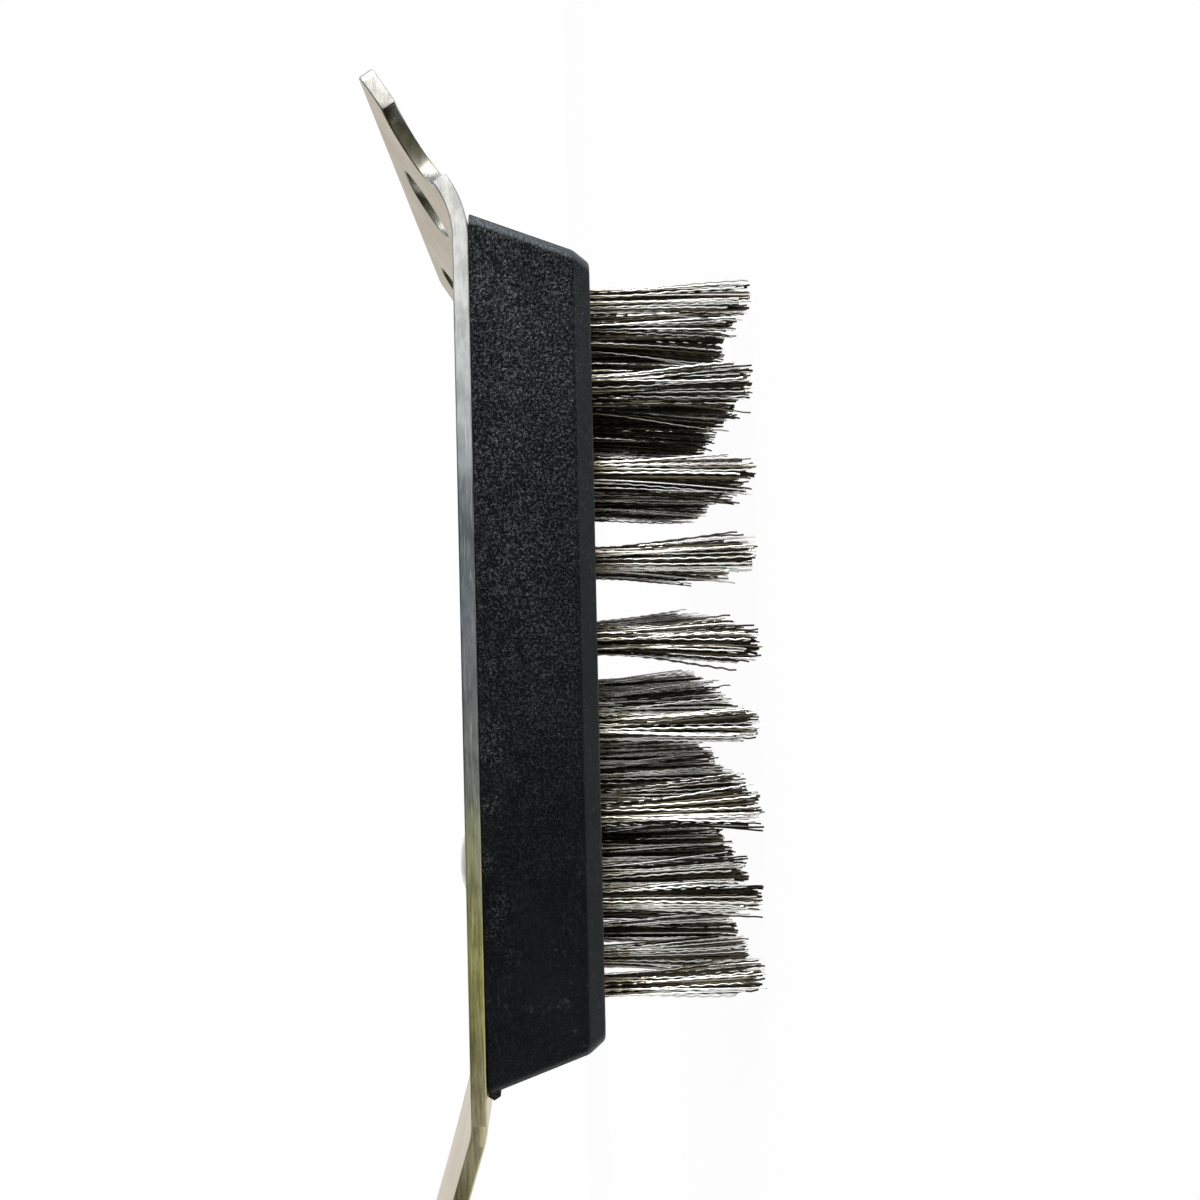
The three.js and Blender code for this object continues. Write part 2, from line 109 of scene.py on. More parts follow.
class BrushSheetSettings(bpy.types.PropertyGroup):
    """Sizes and colours of the bent sheet."""

    thickness: length_setting("Thickness", "Gauge of the sheet", 2.0 * MM)
    tab_bend_radius: length_setting("Tab bend radius", "Outer radius of the tab's bend", 13.4 * MM)
    shank_bend_radius: length_setting("Shank bend radius", "Outer radius of the shank's bend", 9.0 * MM)
    tab_angle: FloatProperty(
        name="Tab angle",
        description="How far the scraper tab is bent back",
        default=math.radians(33.8),
        subtype="ANGLE",
    )
    shank_angle: FloatProperty(
        name="Shank angle", description="How far the shank is bent back", default=math.radians(17.1), subtype="ANGLE"
    )
    tab_bend_inset: length_setting("Tab bend inset", "From the block's scraper end back to the bend", 3.5 * MM)
    shank_bend_offset: length_setting("Shank bend offset", "From the block's handle end on to the bend", 3.0 * MM)
    edge_round: length_setting("Edge round", "Round on the sheared edges", 0.22 * MM)
    notch_from_tip: length_setting("Notch from tip", "From the scraping edge to the side notches", 5.3 * MM)
    notch_diameter: length_setting("Notch diameter", "Diameter of the side notches", 10.6 * MM)
    notch_depth: length_setting("Notch depth", "How far the side notches reach in", 5.0 * MM)
    notch_to_bend: length_setting("Notch to bend", "From the side notches to the bend", 0.5 * MM)
    hole_diameter: length_setting("Hole diameter", "Diameter of the two round holes", 10.3 * MM)
    hole_from_side: length_setting("Hole from side", "From the sheet's side to a hole's middle", 20.5 * MM)
    hole_forward: length_setting("Hole forward", "From the notches' middle on to the holes' middle", 0.6 * MM)
    corner_radius: length_setting("Corner radius", "Radius of the tab's corners", 1.4 * MM)
    shoulder_start: length_setting("Shoulder start", "Full width past the shank's bend", 6.5 * MM)
    shoulder_length: length_setting("Shoulder length", "Length over which the shank narrows", 26.0 * MM)
    tang_width: length_setting("Tang width", "Width of the tang", 26.0 * MM)
    hang_hole_diameter: length_setting("Hanging hole", "Diameter of the hanging hole", 10.0 * MM)
    face_colour: colour_setting("Face colour", "Colour of the sheet's faces", (0.74, 0.69, 0.585))
    edge_colour: colour_setting("Edge glint", "Colour of the glints on the sheared edges", (0.80, 0.81, 0.80))
    stain_colour: colour_setting("Edge pits", "Colour in the pits of the sheared edges", (0.075, 0.068, 0.045))


class BrushBlockSettings(bpy.types.PropertyGroup):
    """Sizes and colours of the moulded block."""

    end_draft: FloatProperty(
        name="End draft", description="Slope of both ends", default=math.radians(19.5), subtype="ANGLE"
    )
    side_draft: FloatProperty(
        name="Side draft", description="Slope of both sides", default=math.radians(1.5), subtype="ANGLE"
    )
    corner_radius: length_setting("Corner radius", "Radius of the upright corners", 2.0 * MM)
    chamfer_height: length_setting("Chamfer height", "Height of the chamfer at the bristle face", 2.0 * MM)
    chamfer_depth: length_setting("Chamfer depth", "How far the chamfer draws the bristle face in", 0.7 * MM)
    edge_round: length_setting("Edge round", "Round between the sides, the chamfer and the face", 0.35 * MM)
    back_round: length_setting("Back round", "Round against the sheet", 0.15 * MM)
    back_round_end: length_setting("Back round at the end", "The same at the handle end", 0.7 * MM)
    back_round_run: length_setting("Back round run", "Length over which it grows to the handle end", 16.0 * MM)
    socket_radius: length_setting("Socket radius", "Radius of a tuft's hole", 1.7 * MM)
    socket_depth: length_setting("Socket depth", "Visible depth of a tuft's hole", 2.5 * MM)
    colour: colour_setting("Colour", "Colour of the moulding", (0.0024, 0.0027, 0.0033))
    # The creases' colour is a painted highlight
    crease_highlight_colour: colour_setting("Crease colour", "Colour of the grain's bright creases", (0.050, 0.054, 0.052))
    grain_size: length_setting("Grain size", "Width of a pebble of the grain", 0.32 * MM)


class BrushTuftSettings(bpy.types.PropertyGroup):
    """Counts and sizes of the tufts."""

    columns: IntProperty(name="Columns", description="Tufts along the block", default=9, min=2)
    rows: IntProperty(name="Rows", description="Tufts across the block", default=7, min=2)
    end_margin: length_setting("End margin", "From the flat face's end to the outer tufts", 3.85 * MM)
    side_margin: length_setting("Side margin", "From the flat face's side to the outer tufts", 7.4 * MM)
    field_shift: length_setting("Field shift", "From the block's middle on to the field's middle", 0.75 * MM)
    wires: IntProperty(name="Wires", description="Wires in a tuft", default=70, min=3)
    steps: IntProperty(name="Steps", description="Bends and ends of a wire", default=23, min=3)
    root_radius: length_setting("Root radius", "Radius of a tuft in its socket", 1.42 * MM)
    tip_radius: length_setting("Tip radius", "Radius of a tuft at its tips", 2.35 * MM)
    root_depth: length_setting("Root depth", "How deep the drawn wires start in the sockets", 1.6 * MM)
    wire_radius: length_setting("Wire radius", "Radius of a wire", 0.122 * MM)
    crimp: length_setting("Crimp", "How far a wire is crimped to each side", 0.075 * MM)
    ragged: length_setting("Ragged", "How far the tips differ in length", 3.4 * MM)
    bow: length_setting("Bow", "How far a wire bows to a side", 1.3 * MM)
    strand: length_setting("Strand", "How far a strand of neighbouring wires moves to a side as one", 0.5 * MM)
    lean: length_setting("Lean", "How far a whole tuft leans", 0.7 * MM)


class BrushFastenerSettings(bpy.types.PropertyGroup):
    """Sizes and colours of the screws and rivets."""

    screw_head_diameter: length_setting("Screw head", "Diameter of a screw's head", 10.5 * MM)
    screw_head_height: length_setting("Screw head height", "Height of a screw's head", 2.6 * MM)
    screw_rim: length_setting("Screw rim", "Height of the rim of a screw's head", 0.5 * MM)
    recess_span: length_setting("Recess span", "Span of the cross recess", 5.0 * MM)
    recess_bar: length_setting("Recess bar", "Width of a bar of the cross recess", 1.15 * MM)
    recess_depth: length_setting("Recess depth", "Depth of the cross recess", 1.5 * MM)
    rivet_head_diameter: length_setting("Rivet head", "Diameter of a rivet's head", 8.5 * MM)
    rivet_head_height: length_setting("Rivet head height", "Height of a rivet's head", 1.5 * MM)
    rivet_rim: length_setting("Rivet rim", "Height of the rim of a rivet's head", 0.4 * MM)
    colour: colour_setting("Colour", "Colour of the fasteners", (0.74, 0.73, 0.70))


class BrushGripSettings(bpy.types.PropertyGroup):
    """Sizes and colours of the grip scales."""

    start: length_setting("Start", "From the shoulders' end to the grip", 8.0 * MM)
    length: length_setting("Length", "Length of a scale", 105.0 * MM)
    thickness: length_setting("Thickness", "Greatest thickness of a scale", 8.5 * MM)
    fit_gap: length_setting("Fit gap", "Gap that the solids keep to the tang", 0.3 * MM)
    hole_gap: length_setting("Hole gap", "From the grip's end to the hanging hole's edge", 4.5 * MM)
    rivet_inset: length_setting("Rivet inset", "From the grip's ends to the outer rivets", 15.0 * MM)
    seat_depth: length_setting("Seat depth", "Depth of a rivet's seat under the crown", 2.6 * MM)
    colour: colour_setting("Colour", "Colour of the scales", (0.013, 0.013, 0.0145))


class BrushStageSettings(bpy.types.PropertyGroup):
    """The camera, lamps and floor."""

    lens: FloatProperty(name="Lens", description="Focal length of the camera in millimetres", default=31.52)
    distance: length_setting("Distance", "From the brush's side to the camera", 127.5 * MM)
    camera_height: length_setting("Camera height", "From the tips' plane up to the camera", 24.55 * MM)
    camera_forward: length_setting("Camera forward", "From the head's middle to the camera, to the scraper", 6.36 * MM)
    yaw: FloatProperty(
        name="Yaw",
        description="Turn of the camera towards the bristle tips",
        default=math.radians(1.767),
        subtype="ANGLE",
    )
    roll: FloatProperty(
        name="Roll", description="Lean of the brush in the picture", default=math.radians(1.236), subtype="ANGLE"
    )
    floor_colour: colour_setting("Floor colour", "Colour of the floor", (0.86, 0.86, 0.855))


def settings(name):
    """One of this maker's settings groups on the scene."""
    return getattr(bpy.context.scene, "wire_brush_" + name)


# Node trees


class Tree:
    """A short way to add linked nodes to a node tree."""

    def __init__(self, tree):
        self.tree = tree

    def add(self, kind, values=None, **options):
        """Adds a node, sets its options, and sets or links its inputs by name or number."""
        node = self.tree.nodes.new(kind)
        for key, value in options.items():
            setattr(node, key, value)
        for key, value in (values or {}).items():
            socket = node.inputs[key]
            if isinstance(value, bpy.types.NodeSocket):
                self.tree.links.new(value, socket)
            else:
                socket.default_value = value
        return node

    def math(self, operation, a, b=0.0, clamp=False):
        """A Math node's value."""
        kind = "ShaderNodeMath"
        return self.add(kind, {0: a, 1: b}, operation=operation, use_clamp=clamp).outputs[0]

    def plus(self, a, b, clamp=False):
        """The sum of two values."""
        return self.math("ADD", a, b, clamp)

    def minus(self, a, b):
        """The difference of two values."""
        return self.math("SUBTRACT", a, b)

    def times(self, a, b):
        """The product of two values."""
        return self.math("MULTIPLY", a, b)

    def over(self, a, b):
        """One value divided by another."""
        return self.math("DIVIDE", a, b)

    def link(self, source, target):
        """Links an output to an input."""
        self.tree.links.new(source, target)

    def vector(self, operation, a, b=None, scale=None):
        """A Vector Math node's result."""
        values = {0: a}
        if b is not None:
            values[1] = b
        if scale is not None:
            values["Scale"] = scale
        return self.add("ShaderNodeVectorMath", values, operation=operation).outputs[0]

    def combine(self, x=0.0, y=0.0, z=0.0):
        """A vector from three values."""
        return self.add("ShaderNodeCombineXYZ", {"X": x, "Y": y, "Z": z}).outputs[0]

    def mix(self, factor, a, b):
        """A colour between two."""
        node = self.add("ShaderNodeMix", data_type="RGBA")
        for index, value in ((0, factor), (6, a), (7, b)):
            if isinstance(value, bpy.types.NodeSocket):
                self.tree.links.new(value, node.inputs[index])
            elif index:
                node.inputs[index].default_value = (*value, 1.0)
            else:
                node.inputs[index].default_value = value
        return node.outputs[2]

    def stops(self, value, colours):
        """A colour from (place, colour) stops on the way from 0 to 1."""
        node = self.add("ShaderNodeValToRGB", {0: value})
        elements = node.color_ramp.elements
        while len(elements) < len(colours):
            elements.new(0.5)
        for element, (place, colour) in zip(elements, colours):
            element.position = place
            element.color = (*colour, 1.0)
        return node.outputs[0]

    def ramp(self, value, low, high, to_low=0.0, to_high=1.0):
        """A value mapped smoothly from one range to another and held at its ends."""
        values = {"Value": value, "From Min": low, "From Max": high, "To Min": to_low, "To Max": to_high}
        return self.add("ShaderNodeMapRange", values, interpolation_type="SMOOTHSTEP").outputs[0]

    def noise(self, position, scale, detail=2.0, roughness=0.5, stretch=None):
        """Noise from 0 to 1 over a position."""
        if stretch is not None:
            position = self.vector("MULTIPLY", position, stretch)
        values = {"Vector": position, "Scale": scale, "Detail": detail, "Roughness": roughness}
        return self.add("ShaderNodeTexNoise", values).outputs[0]


def new_group(name, inputs, outputs):
    """An empty shader node group with float, colour or vector sockets."""
    group = bpy.data.node_groups.new(name, "ShaderNodeTree")
    for label, kind, default in inputs:
        socket = group.interface.new_socket(label, in_out="INPUT", socket_type=kind)
        if default is not None:
            socket.default_value = default
    for label, kind in outputs:
        group.interface.new_socket(label, in_out="OUTPUT", socket_type=kind)
    tree = Tree(group)
    return group, tree, tree.add("NodeGroupInput").outputs, tree.add("NodeGroupOutput").inputs


def pebble_group():
    """Pebble grain of a moulded face: its height, and a mask of the short creases that catch the light."""
    inputs = [
        ("Position", "NodeSocketVector", None),
        ("Pebble Size", "NodeSocketFloat", 0.4 * MM),
        ("Depth", "NodeSocketFloat", 1.0),
    ]
    outputs = [("Height", "NodeSocketFloat"), ("Creases", "NodeSocketFloat")]
    group, tree, given, result = new_group("Pebble Grain", inputs, outputs)
    scale = tree.over(1.0, given["Pebble Size"])
    warp = tree.add("ShaderNodeTexNoise", {"Vector": given["Position"], "Scale": scale, "Detail": 1.0})
    shifted = tree.vector("SCALE", warp.outputs[1], scale=given["Pebble Size"])
    place = tree.vector("ADD", given["Position"], shifted)
    cells = tree.add("ShaderNodeTexVoronoi", {"Vector": place, "Scale": scale}, feature="SMOOTH_F1")
    fine = tree.noise(given["Position"], tree.times(scale, 2.3), detail=2.0)
    domes = tree.minus(1.0, tree.ramp(cells.outputs[0], 0.1, 0.75))
    height = tree.plus(tree.times(domes, 0.75), tree.times(fine, 0.25))
    winding = tree.noise(given["Position"], tree.times(scale, 0.62), detail=1.5)
    off_line = tree.math("ABSOLUTE", tree.minus(winding, 0.5))
    off_line = tree.math("ABSOLUTE", tree.minus(off_line, 0.07))
    broken = tree.noise(given["Position"], tree.times(scale, 0.8), detail=2.0, stretch=(1.0, 1.0, 1.3))
    creases = tree.times(tree.ramp(off_line, 0.04, 0.0), tree.ramp(broken, 0.40, 0.60))
    height = tree.plus(height, tree.times(creases, 0.35))
    tree.link(tree.times(height, given["Depth"]), result["Height"])
    tree.link(creases, result["Creases"])
    return group


def smudge_group():
    """Soft clouds of handling marks over a surface, from 0 to 1."""
    inputs = [("Position", "NodeSocketVector", None), ("Size", "NodeSocketFloat", 12 * MM)]
    group, tree, given, result = new_group("Handling Marks", inputs, [("Mask", "NodeSocketFloat")])
    scale = tree.over(1.0, given["Size"])
    broad = tree.noise(given["Position"], scale, detail=3.0, roughness=0.62)
    fine = tree.noise(given["Position"], tree.times(scale, 7.0), detail=2.0)
    both = tree.plus(tree.times(broad, 0.75), tree.times(fine, 0.25))
    tree.link(tree.ramp(both, 0.36, 0.66), result["Mask"])
    return group


def scratch_group():
    """Fine scratches that run along one way, from 0 to 1."""
    inputs = [
        ("Position", "NodeSocketVector", None),
        ("Stretch", "NodeSocketVector", (1.0, 0.05, 1.0)),
        ("Width", "NodeSocketFloat", 0.15 * MM),
        ("Amount", "NodeSocketFloat", 0.5),
    ]
    group, tree, given, result = new_group("Fine Scratches", inputs, [("Mask", "NodeSocketFloat")])
    drawn = tree.vector("MULTIPLY", given["Position"], given["Stretch"])
    scale = tree.over(1.0, given["Width"])
    lines = tree.noise(drawn, scale, detail=3.0, roughness=0.7)
    patches = tree.noise(given["Position"], tree.over(scale, 40.0), detail=2.0)
    kept = tree.times(tree.ramp(lines, 0.5, 0.72), tree.ramp(patches, 0.3, 0.7))
    tree.link(tree.times(kept, given["Amount"]), result["Mask"])
    return group


GROUP_MAKERS = {"Pebble Grain": pebble_group, "Handling Marks": smudge_group, "Fine Scratches": scratch_group}


def shared_group(name):
    """A shader node group, built the first time that it is asked for."""
    return bpy.data.node_groups.get(name) or GROUP_MAKERS[name]()


def use_group(tree, name, values):
    """Places a shared group in a material and sets its inputs."""
    node = tree.add("ShaderNodeGroup", node_tree=shared_group(name))
    for key, value in values.items():
        if isinstance(value, bpy.types.NodeSocket):
            tree.link(value, node.inputs[key])
        else:
            node.inputs[key].default_value = value
    return node.outputs


def new_material(name, metallic=0.0, roughness=0.5, **sockets):
    """A material with a Principled shader: returns it, its tree, its shader's inputs and the object position."""
    material = bpy.data.materials.new(name)
    material.use_nodes = True
    nodes = material.node_tree.nodes
    shader = next(node for node in nodes if node.type == "BSDF_PRINCIPLED")
    shader.inputs["Metallic"].default_value = metallic
    shader.inputs["Roughness"].default_value = roughness
    for key, value in sockets.items():
        shader.inputs[key.replace("_", " ")].default_value = value
    tree = Tree(material.node_tree)
    position = tree.add("ShaderNodeTexCoord").outputs["Object"]
    return material, tree, shader.inputs, position


def bumped(tree, shader, height, distance, strength=1.0):
    """Feeds a height through a Bump node to the shader's normal."""
    values = {"Height": height, "Distance": distance, "Strength": strength}
    tree.link(tree.add("ShaderNodeBump", values).outputs[0], shader["Normal"])


# Mesh helpers


def new_piece(name, mesh, *materials):
    """A new object at the origin with that mesh and materials, linked to the scene."""
    mesh.name = name
    piece = bpy.data.objects.new(name, mesh)
    bpy.context.scene.collection.objects.link(piece)
    for material in materials:
        mesh.materials.append(material)
    return piece


def mesh_from(build):
    """A mesh from a function that fills a bmesh."""
    shape = bmesh.new()
    build(shape)
    mesh = bpy.data.meshes.new("shape")
    shape.to_mesh(mesh)
    shape.free()
    return mesh


def smooth_by_angle(mesh, degrees=35.0):
    """Shades smooth, with edges sharper than the angle kept sharp."""
    mesh.shade_smooth()
    mesh.set_sharp_from_angle(angle=math.radians(degrees))


def soften(piece, degrees):
    """Shades smooth by angle, with normals weighted by the faces' sizes."""
    smooth_by_angle(piece.data, degrees)
    piece.modifiers.new("weighted normals", "WEIGHTED_NORMAL").keep_sharp = True
    bake_modifiers(piece)


def bake_modifiers(piece):
    """Turns the piece with its modifiers into a plain mesh under the same name."""
    bpy.context.view_layer.update()
    depsgraph = bpy.context.evaluated_depsgraph_get()
    mesh = bpy.data.meshes.new_from_object(piece.evaluated_get(depsgraph))
    old = piece.data
    piece.modifiers.clear()
    piece.data = mesh
    mesh.name = piece.name
    if old.users == 0:
        bpy.data.meshes.remove(old)
    return piece


def cut_away(piece, cutters):
    """Cuts solids out of a piece and removes them."""
    for cutter in cutters:
        modifier = piece.modifiers.new("cut", "BOOLEAN")
        modifier.operation = "DIFFERENCE"
        modifier.solver = "EXACT"
        modifier.object = cutter
    bake_modifiers(piece)
    for cutter in cutters:
        bpy.data.objects.remove(cutter)
    return piece


def loft_rings(shape, rings, close_ends=True):
    """Faces over rings of points that run anticlockwise about the rings' direction."""
    levels = [[shape.verts.new(point) for point in ring] for ring in rings]
    for lower, upper in zip(levels, levels[1:]):
        for i, vert in enumerate(lower):
            j = (i + 1) % len(lower)
            shape.faces.new((vert, lower[j], upper[j], upper[i]))
    if close_ends:
        shape.faces.new(list(reversed(levels[0])))
        shape.faces.new(levels[-1])


def spin_profile(shape, profile, segments):
    """A turned skin round Z from (radius, height) pairs that start and end on the axis and run upwards."""
    low = shape.verts.new((0, 0, profile[0][1]))
    high = shape.verts.new((0, 0, profile[-1][1]))
    rings = []
    for radius, height in profile[1:-1]:
        turns = [2 * math.pi * i / segments for i in range(segments)]
        rings.append([shape.verts.new((radius * math.cos(t), radius * math.sin(t), height)) for t in turns])
    for i in range(segments):
        j = (i + 1) % segments
        shape.faces.new((low, rings[0][j], rings[0][i]))
        for lower, upper in zip(rings, rings[1:]):
            shape.faces.new((lower[i], lower[j], upper[j], upper[i]))
        shape.faces.new((rings[-1][i], rings[-1][j], high))


def arc(centre, radius, start, end, steps):
    """Points on an arc in a plane, both ends included."""
    turns = [start + (end - start) * i / steps for i in range(steps + 1)]
    return [(centre[0] + radius * math.cos(t), centre[1] + radius * math.sin(t)) for t in turns]


def dome(radius, rim, crown, steps):
    """A domed head's (radius, height) pairs from its rim to its crown."""
    turns = [i / steps * math.pi / 2 for i in range(steps + 1)]
    points = [(radius * math.cos(t), rim + (crown - rim) * math.sin(t)) for t in turns]
    points[-1] = (0.0, crown)
    return points


# The sheet


class SheetPath:
    """The sheet's fold: a place on the flat blank to its place on the bent sheet."""

    def __init__(self, sheet):
        self.tab_radius = sheet.tab_bend_radius
        self.shank_radius = sheet.shank_bend_radius
        self.thickness = sheet.thickness
        self.tab_angle = sheet.tab_angle
        self.shank_angle = sheet.shank_angle
        self.tab_bend_y = BLOCK_LENGTH / 2 - sheet.tab_bend_inset
        self.shank_bend_y = -BLOCK_LENGTH / 2 - sheet.shank_bend_offset
        self.tab_arc = (self.tab_radius - self.thickness / 2) * self.tab_angle
        self.shank_arc = (self.shank_radius - self.thickness / 2) * self.shank_angle
        self.tab_start = self.tab_bend_y + self.tab_arc
        self.shank_start = self.shank_bend_y - self.shank_arc

    def place(self, x, s, t):
        """x across, s along the blank, t from the front face: the place in the frame."""
        side, bend_y, radius = 1, self.tab_bend_y, self.tab_radius
        if s > self.tab_bend_y:
            angle = min((s - self.tab_bend_y) / self.tab_arc, 1.0) * self.tab_angle
            past = max(s - self.tab_start, 0.0)
        elif s < self.shank_bend_y:
            side, bend_y, radius = -1, self.shank_bend_y, self.shank_radius
            angle = min((self.shank_bend_y - s) / self.shank_arc, 1.0) * self.shank_angle
            past = max(self.shank_start - s, 0.0)
        else:
            return Vector((x, HEAD_Y + s, SHEET_FRONT_Z + t))
        reach = radius - t
        y = bend_y + side * (reach * math.sin(angle) + past * math.cos(angle))
        z = radius - reach * math.cos(angle) + past * math.sin(angle)
        return Vector((x, HEAD_Y + y, SHEET_FRONT_Z + z))

    def tang_matrix(self):
        """From the tang's own space to the frame: y along the tang, z from its front face."""
        origin = self.place(0.0, self.shank_start, 0.0)
        return Matrix.Translation(origin) @ Matrix.Rotation(-self.shank_angle, 4, "X")


def grip_places():
    """The grip's start and end, the hanging hole and the rivets, as distances past the shank's bend."""
    sheet, grip = settings("sheet"), settings("grip")
    start = sheet.shoulder_start + sheet.shoulder_length + grip.start
    end = start + grip.length
    hole = end + grip.hole_gap + sheet.hang_hole_diameter / 2
    first, last = start + grip.rivet_inset, end - grip.rivet_inset
    return start, end, hole, [first, (first + last) / 2, last]


def smooth_step_edge(start, end, steps):
    """Points of a shoulder's sweep between two (x, s) places, both ends left out."""
    (x0, s0), (x1, s1) = start, end
    points = []
    for i in range(1, steps):
        u = i / steps
        x = x0 * (1 - u) ** 3 + 3 * x0 * u * (1 - u) ** 2 + 3 * x1 * u * u * (1 - u) + x1 * u**3
        mid = (s0 + s1) / 2
        s = s0 * (1 - u) ** 3 + 3 * mid * u * (1 - u) ** 2 + 3 * mid * u * u * (1 - u) + s1 * u**3
        points.append((x, s))
    return points


def tab_places(sheet, path):
    """The scraping edge and the side notches' middle, as distances along the blank."""
    tip = path.tab_start + (sheet.notch_from_tip + sheet.notch_diameter + sheet.notch_to_bend)
    return tip, tip - sheet.notch_from_tip - sheet.notch_diameter / 2


def blank_outline(sheet, path):
    """The blank's outline, anticlockwise from the tang's end, as (x, s) points."""
    half = HALF_WIDTH
    steps = 20
    tip, notch_s = tab_places(sheet, path)
    notch_radius = sheet.notch_diameter / 2
    notch_x = half + notch_radius - sheet.notch_depth
    mouth = math.acos((notch_radius - sheet.notch_depth) / notch_radius)
    corner = sheet.corner_radius
    hole = grip_places()[2]
    end_s = path.shank_start - hole
    shoulder = path.shank_start - sheet.shoulder_start
    tang = shoulder - sheet.shoulder_length
    half_tang = sheet.tang_width / 2
    right = [(half_tang, tang)]
    right += smooth_step_edge((half_tang, tang), (half, shoulder), steps)
    right += [(half, shoulder)]
    right += arc((notch_x, notch_s), notch_radius, math.pi + mouth, math.pi - mouth, steps)
    right += arc((half - corner, tip - corner), corner, 0.0, math.pi / 2, 6)
    left = [(-x, s) for x, s in reversed(right)]
    return arc((0.0, end_s), half_tang, math.pi, 2 * math.pi, 2 * steps) + right + left


def blank_holes(sheet, path):
    """The blank's round holes as (x, s, diameter)."""
    hole_x = HALF_WIDTH - sheet.hole_from_side
    hole_s = tab_places(sheet, path)[1] + sheet.hole_forward
    holes = [(side * hole_x, hole_s, sheet.hole_diameter) for side in (-1, 1)]
    return holes + [(0.0, path.shank_start - grip_places()[2], sheet.hang_hole_diameter)]


def blank_mesh(sheet, path):
    """The flat blank with rounded edges, its faces between z = 0 and the thickness."""
    curve = bpy.data.curves.new("blank", "CURVE")
    curve.dimensions = "2D"
    curve.fill_mode = "BOTH"
    curve.extrude = sheet.thickness / 2 - sheet.edge_round
    curve.bevel_depth = sheet.edge_round
    curve.bevel_resolution = 2
    curve.offset = -sheet.edge_round
    outlines = [blank_outline(sheet, path)]
    for x, s, diameter in blank_holes(sheet, path):
        outlines.append(arc((x, s), diameter / 2, 0.0, 2 * math.pi * 47 / 48, 47))
    for outline in outlines:
        spline = curve.splines.new("POLY")
        spline.points.add(len(outline) - 1)
        for point, (x, s) in zip(spline.points, outline):
            point.co = (x, s, 0.0, 1.0)
        spline.use_cyclic_u = True
    holder = bpy.data.objects.new("blank", curve)
    bpy.context.scene.collection.objects.link(holder)
    bpy.context.view_layer.update()
    depsgraph = bpy.context.evaluated_depsgraph_get()
    mesh = bpy.data.meshes.new_from_object(holder.evaluated_get(depsgraph))
    bpy.data.objects.remove(holder)
    bpy.data.curves.remove(curve)
    return mesh


def fold_blank(mesh, path, bend_steps):
    """Cuts the blank across at the bends' steps and folds it into place."""
    shape = bmesh.new()
    shape.from_mesh(mesh)
    bmesh.ops.remove_doubles(shape, verts=shape.verts, dist=0.002 * MM)
    cuts = []
    for i in range(bend_steps + 1):
        cuts.append(path.tab_bend_y + path.tab_arc * i / bend_steps)
        cuts.append(path.shank_bend_y - path.shank_arc * i / bend_steps)
    for s in cuts:
        everything = shape.verts[:] + shape.edges[:] + shape.faces[:]
        bmesh.ops.bisect_plane(shape, geom=everything, dist=0.0005 * MM, plane_co=(0, s, 0), plane_no=(0, 1, 0))
    bmesh.ops.triangulate(shape, faces=[face for face in shape.faces if len(face.verts) > 4])
    bmesh.ops.recalc_face_normals(shape, faces=shape.faces)
    for face in shape.faces:
        face.material_index = 0 if abs(face.normal.z) > 0.99 else 1
    for vert in shape.verts:
        x, s, t = vert.co
        vert.co = path.place(x, s, t + path.thickness / 2)
    bmesh.ops.recalc_face_normals(shape, faces=shape.faces)
    shape.to_mesh(mesh)
    shape.free()


def sheet_face_material(sheet):
    """Rolled stainless: soft lengthwise grain, handling marks and a few scratches."""
    material, tree, shader, position = new_material(
        "stainless sheet", metallic=1.0, Specular_Tint=(0.96, 0.92, 0.85, 1.0)
    )
    grain = tree.noise(position, 1 / (0.22 * MM), detail=3.0, roughness=0.6, stretch=(1.0, 0.03, 1.0))
    marks = use_group(tree, "Handling Marks", {"Position": position, "Size": 16 * MM})["Mask"]
    scratches = use_group(
        tree,
        "Fine Scratches",
        {"Position": position, "Stretch": (1.0, 0.12, 1.0), "Width": 0.2 * MM, "Amount": 0.6},
    )["Mask"]
    base = tuple(sheet.face_colour)
    darker = tuple(channel * 0.80 for channel in base)
    colour = tree.mix(tree.times(marks, 0.5), base, darker)
    colour = tree.mix(tree.times(scratches, 0.35), colour, (0.86, 0.85, 0.83))
    tree.link(colour, shader["Base Color"])
    rough = tree.plus(tree.ramp(grain, 0.3, 0.7, 0.26, 0.36), tree.times(marks, 0.10))
    tree.link(rough, shader["Roughness"])
    height = tree.plus(grain, tree.times(scratches, -0.8))
    bumped(tree, shader, height, 0.012 * MM, 0.5)
    return material


# Base colours along the sheared edge, as (millimetres from the head's middle, colour): painted reflections of the
# surroundings, tuned to the edge's look
EDGE_REFLECTION_TONES = (
    (-70, (0.540, 0.470, 0.255)),
    (-64, (0.540, 0.475, 0.260)),
    (-58, (0.650, 0.580, 0.350)),
    (-52, (0.523, 0.475, 0.250)),
    (-46, (0.421, 0.405, 0.164)),
    (-40, (0.495, 0.490, 0.171)),
    (-33, (0.446, 0.424, 0.171)),
    (-24, (0.351, 0.369, 0.211)),
    (-17, (0.164, 0.174, 0.144)),
    (-12, (0.150, 0.161, 0.148)),
    (-5, (0.109, 0.119, 0.119)),
    (3, (0.132, 0.144, 0.157)),
    (13, (0.084, 0.095, 0.097)),
    (20, (0.118, 0.127, 0.132)),
    (27, (0.318, 0.332, 0.329)),
    (46, (0.475, 0.480, 0.473)),
    (55, (0.500, 0.500, 0.470)),
    (58, (0.820, 0.840, 0.860)),
    (60.5, (0.520, 0.525, 0.500)),
    (62, (0.290, 0.290, 0.255)),
    (63.5, (0.140, 0.135, 0.095)),
    (66, (0.055, 0.052, 0.030)),
    (67.5, (0.500, 0.490, 0.440)),
    (72, (0.600, 0.595, 0.570)),
)


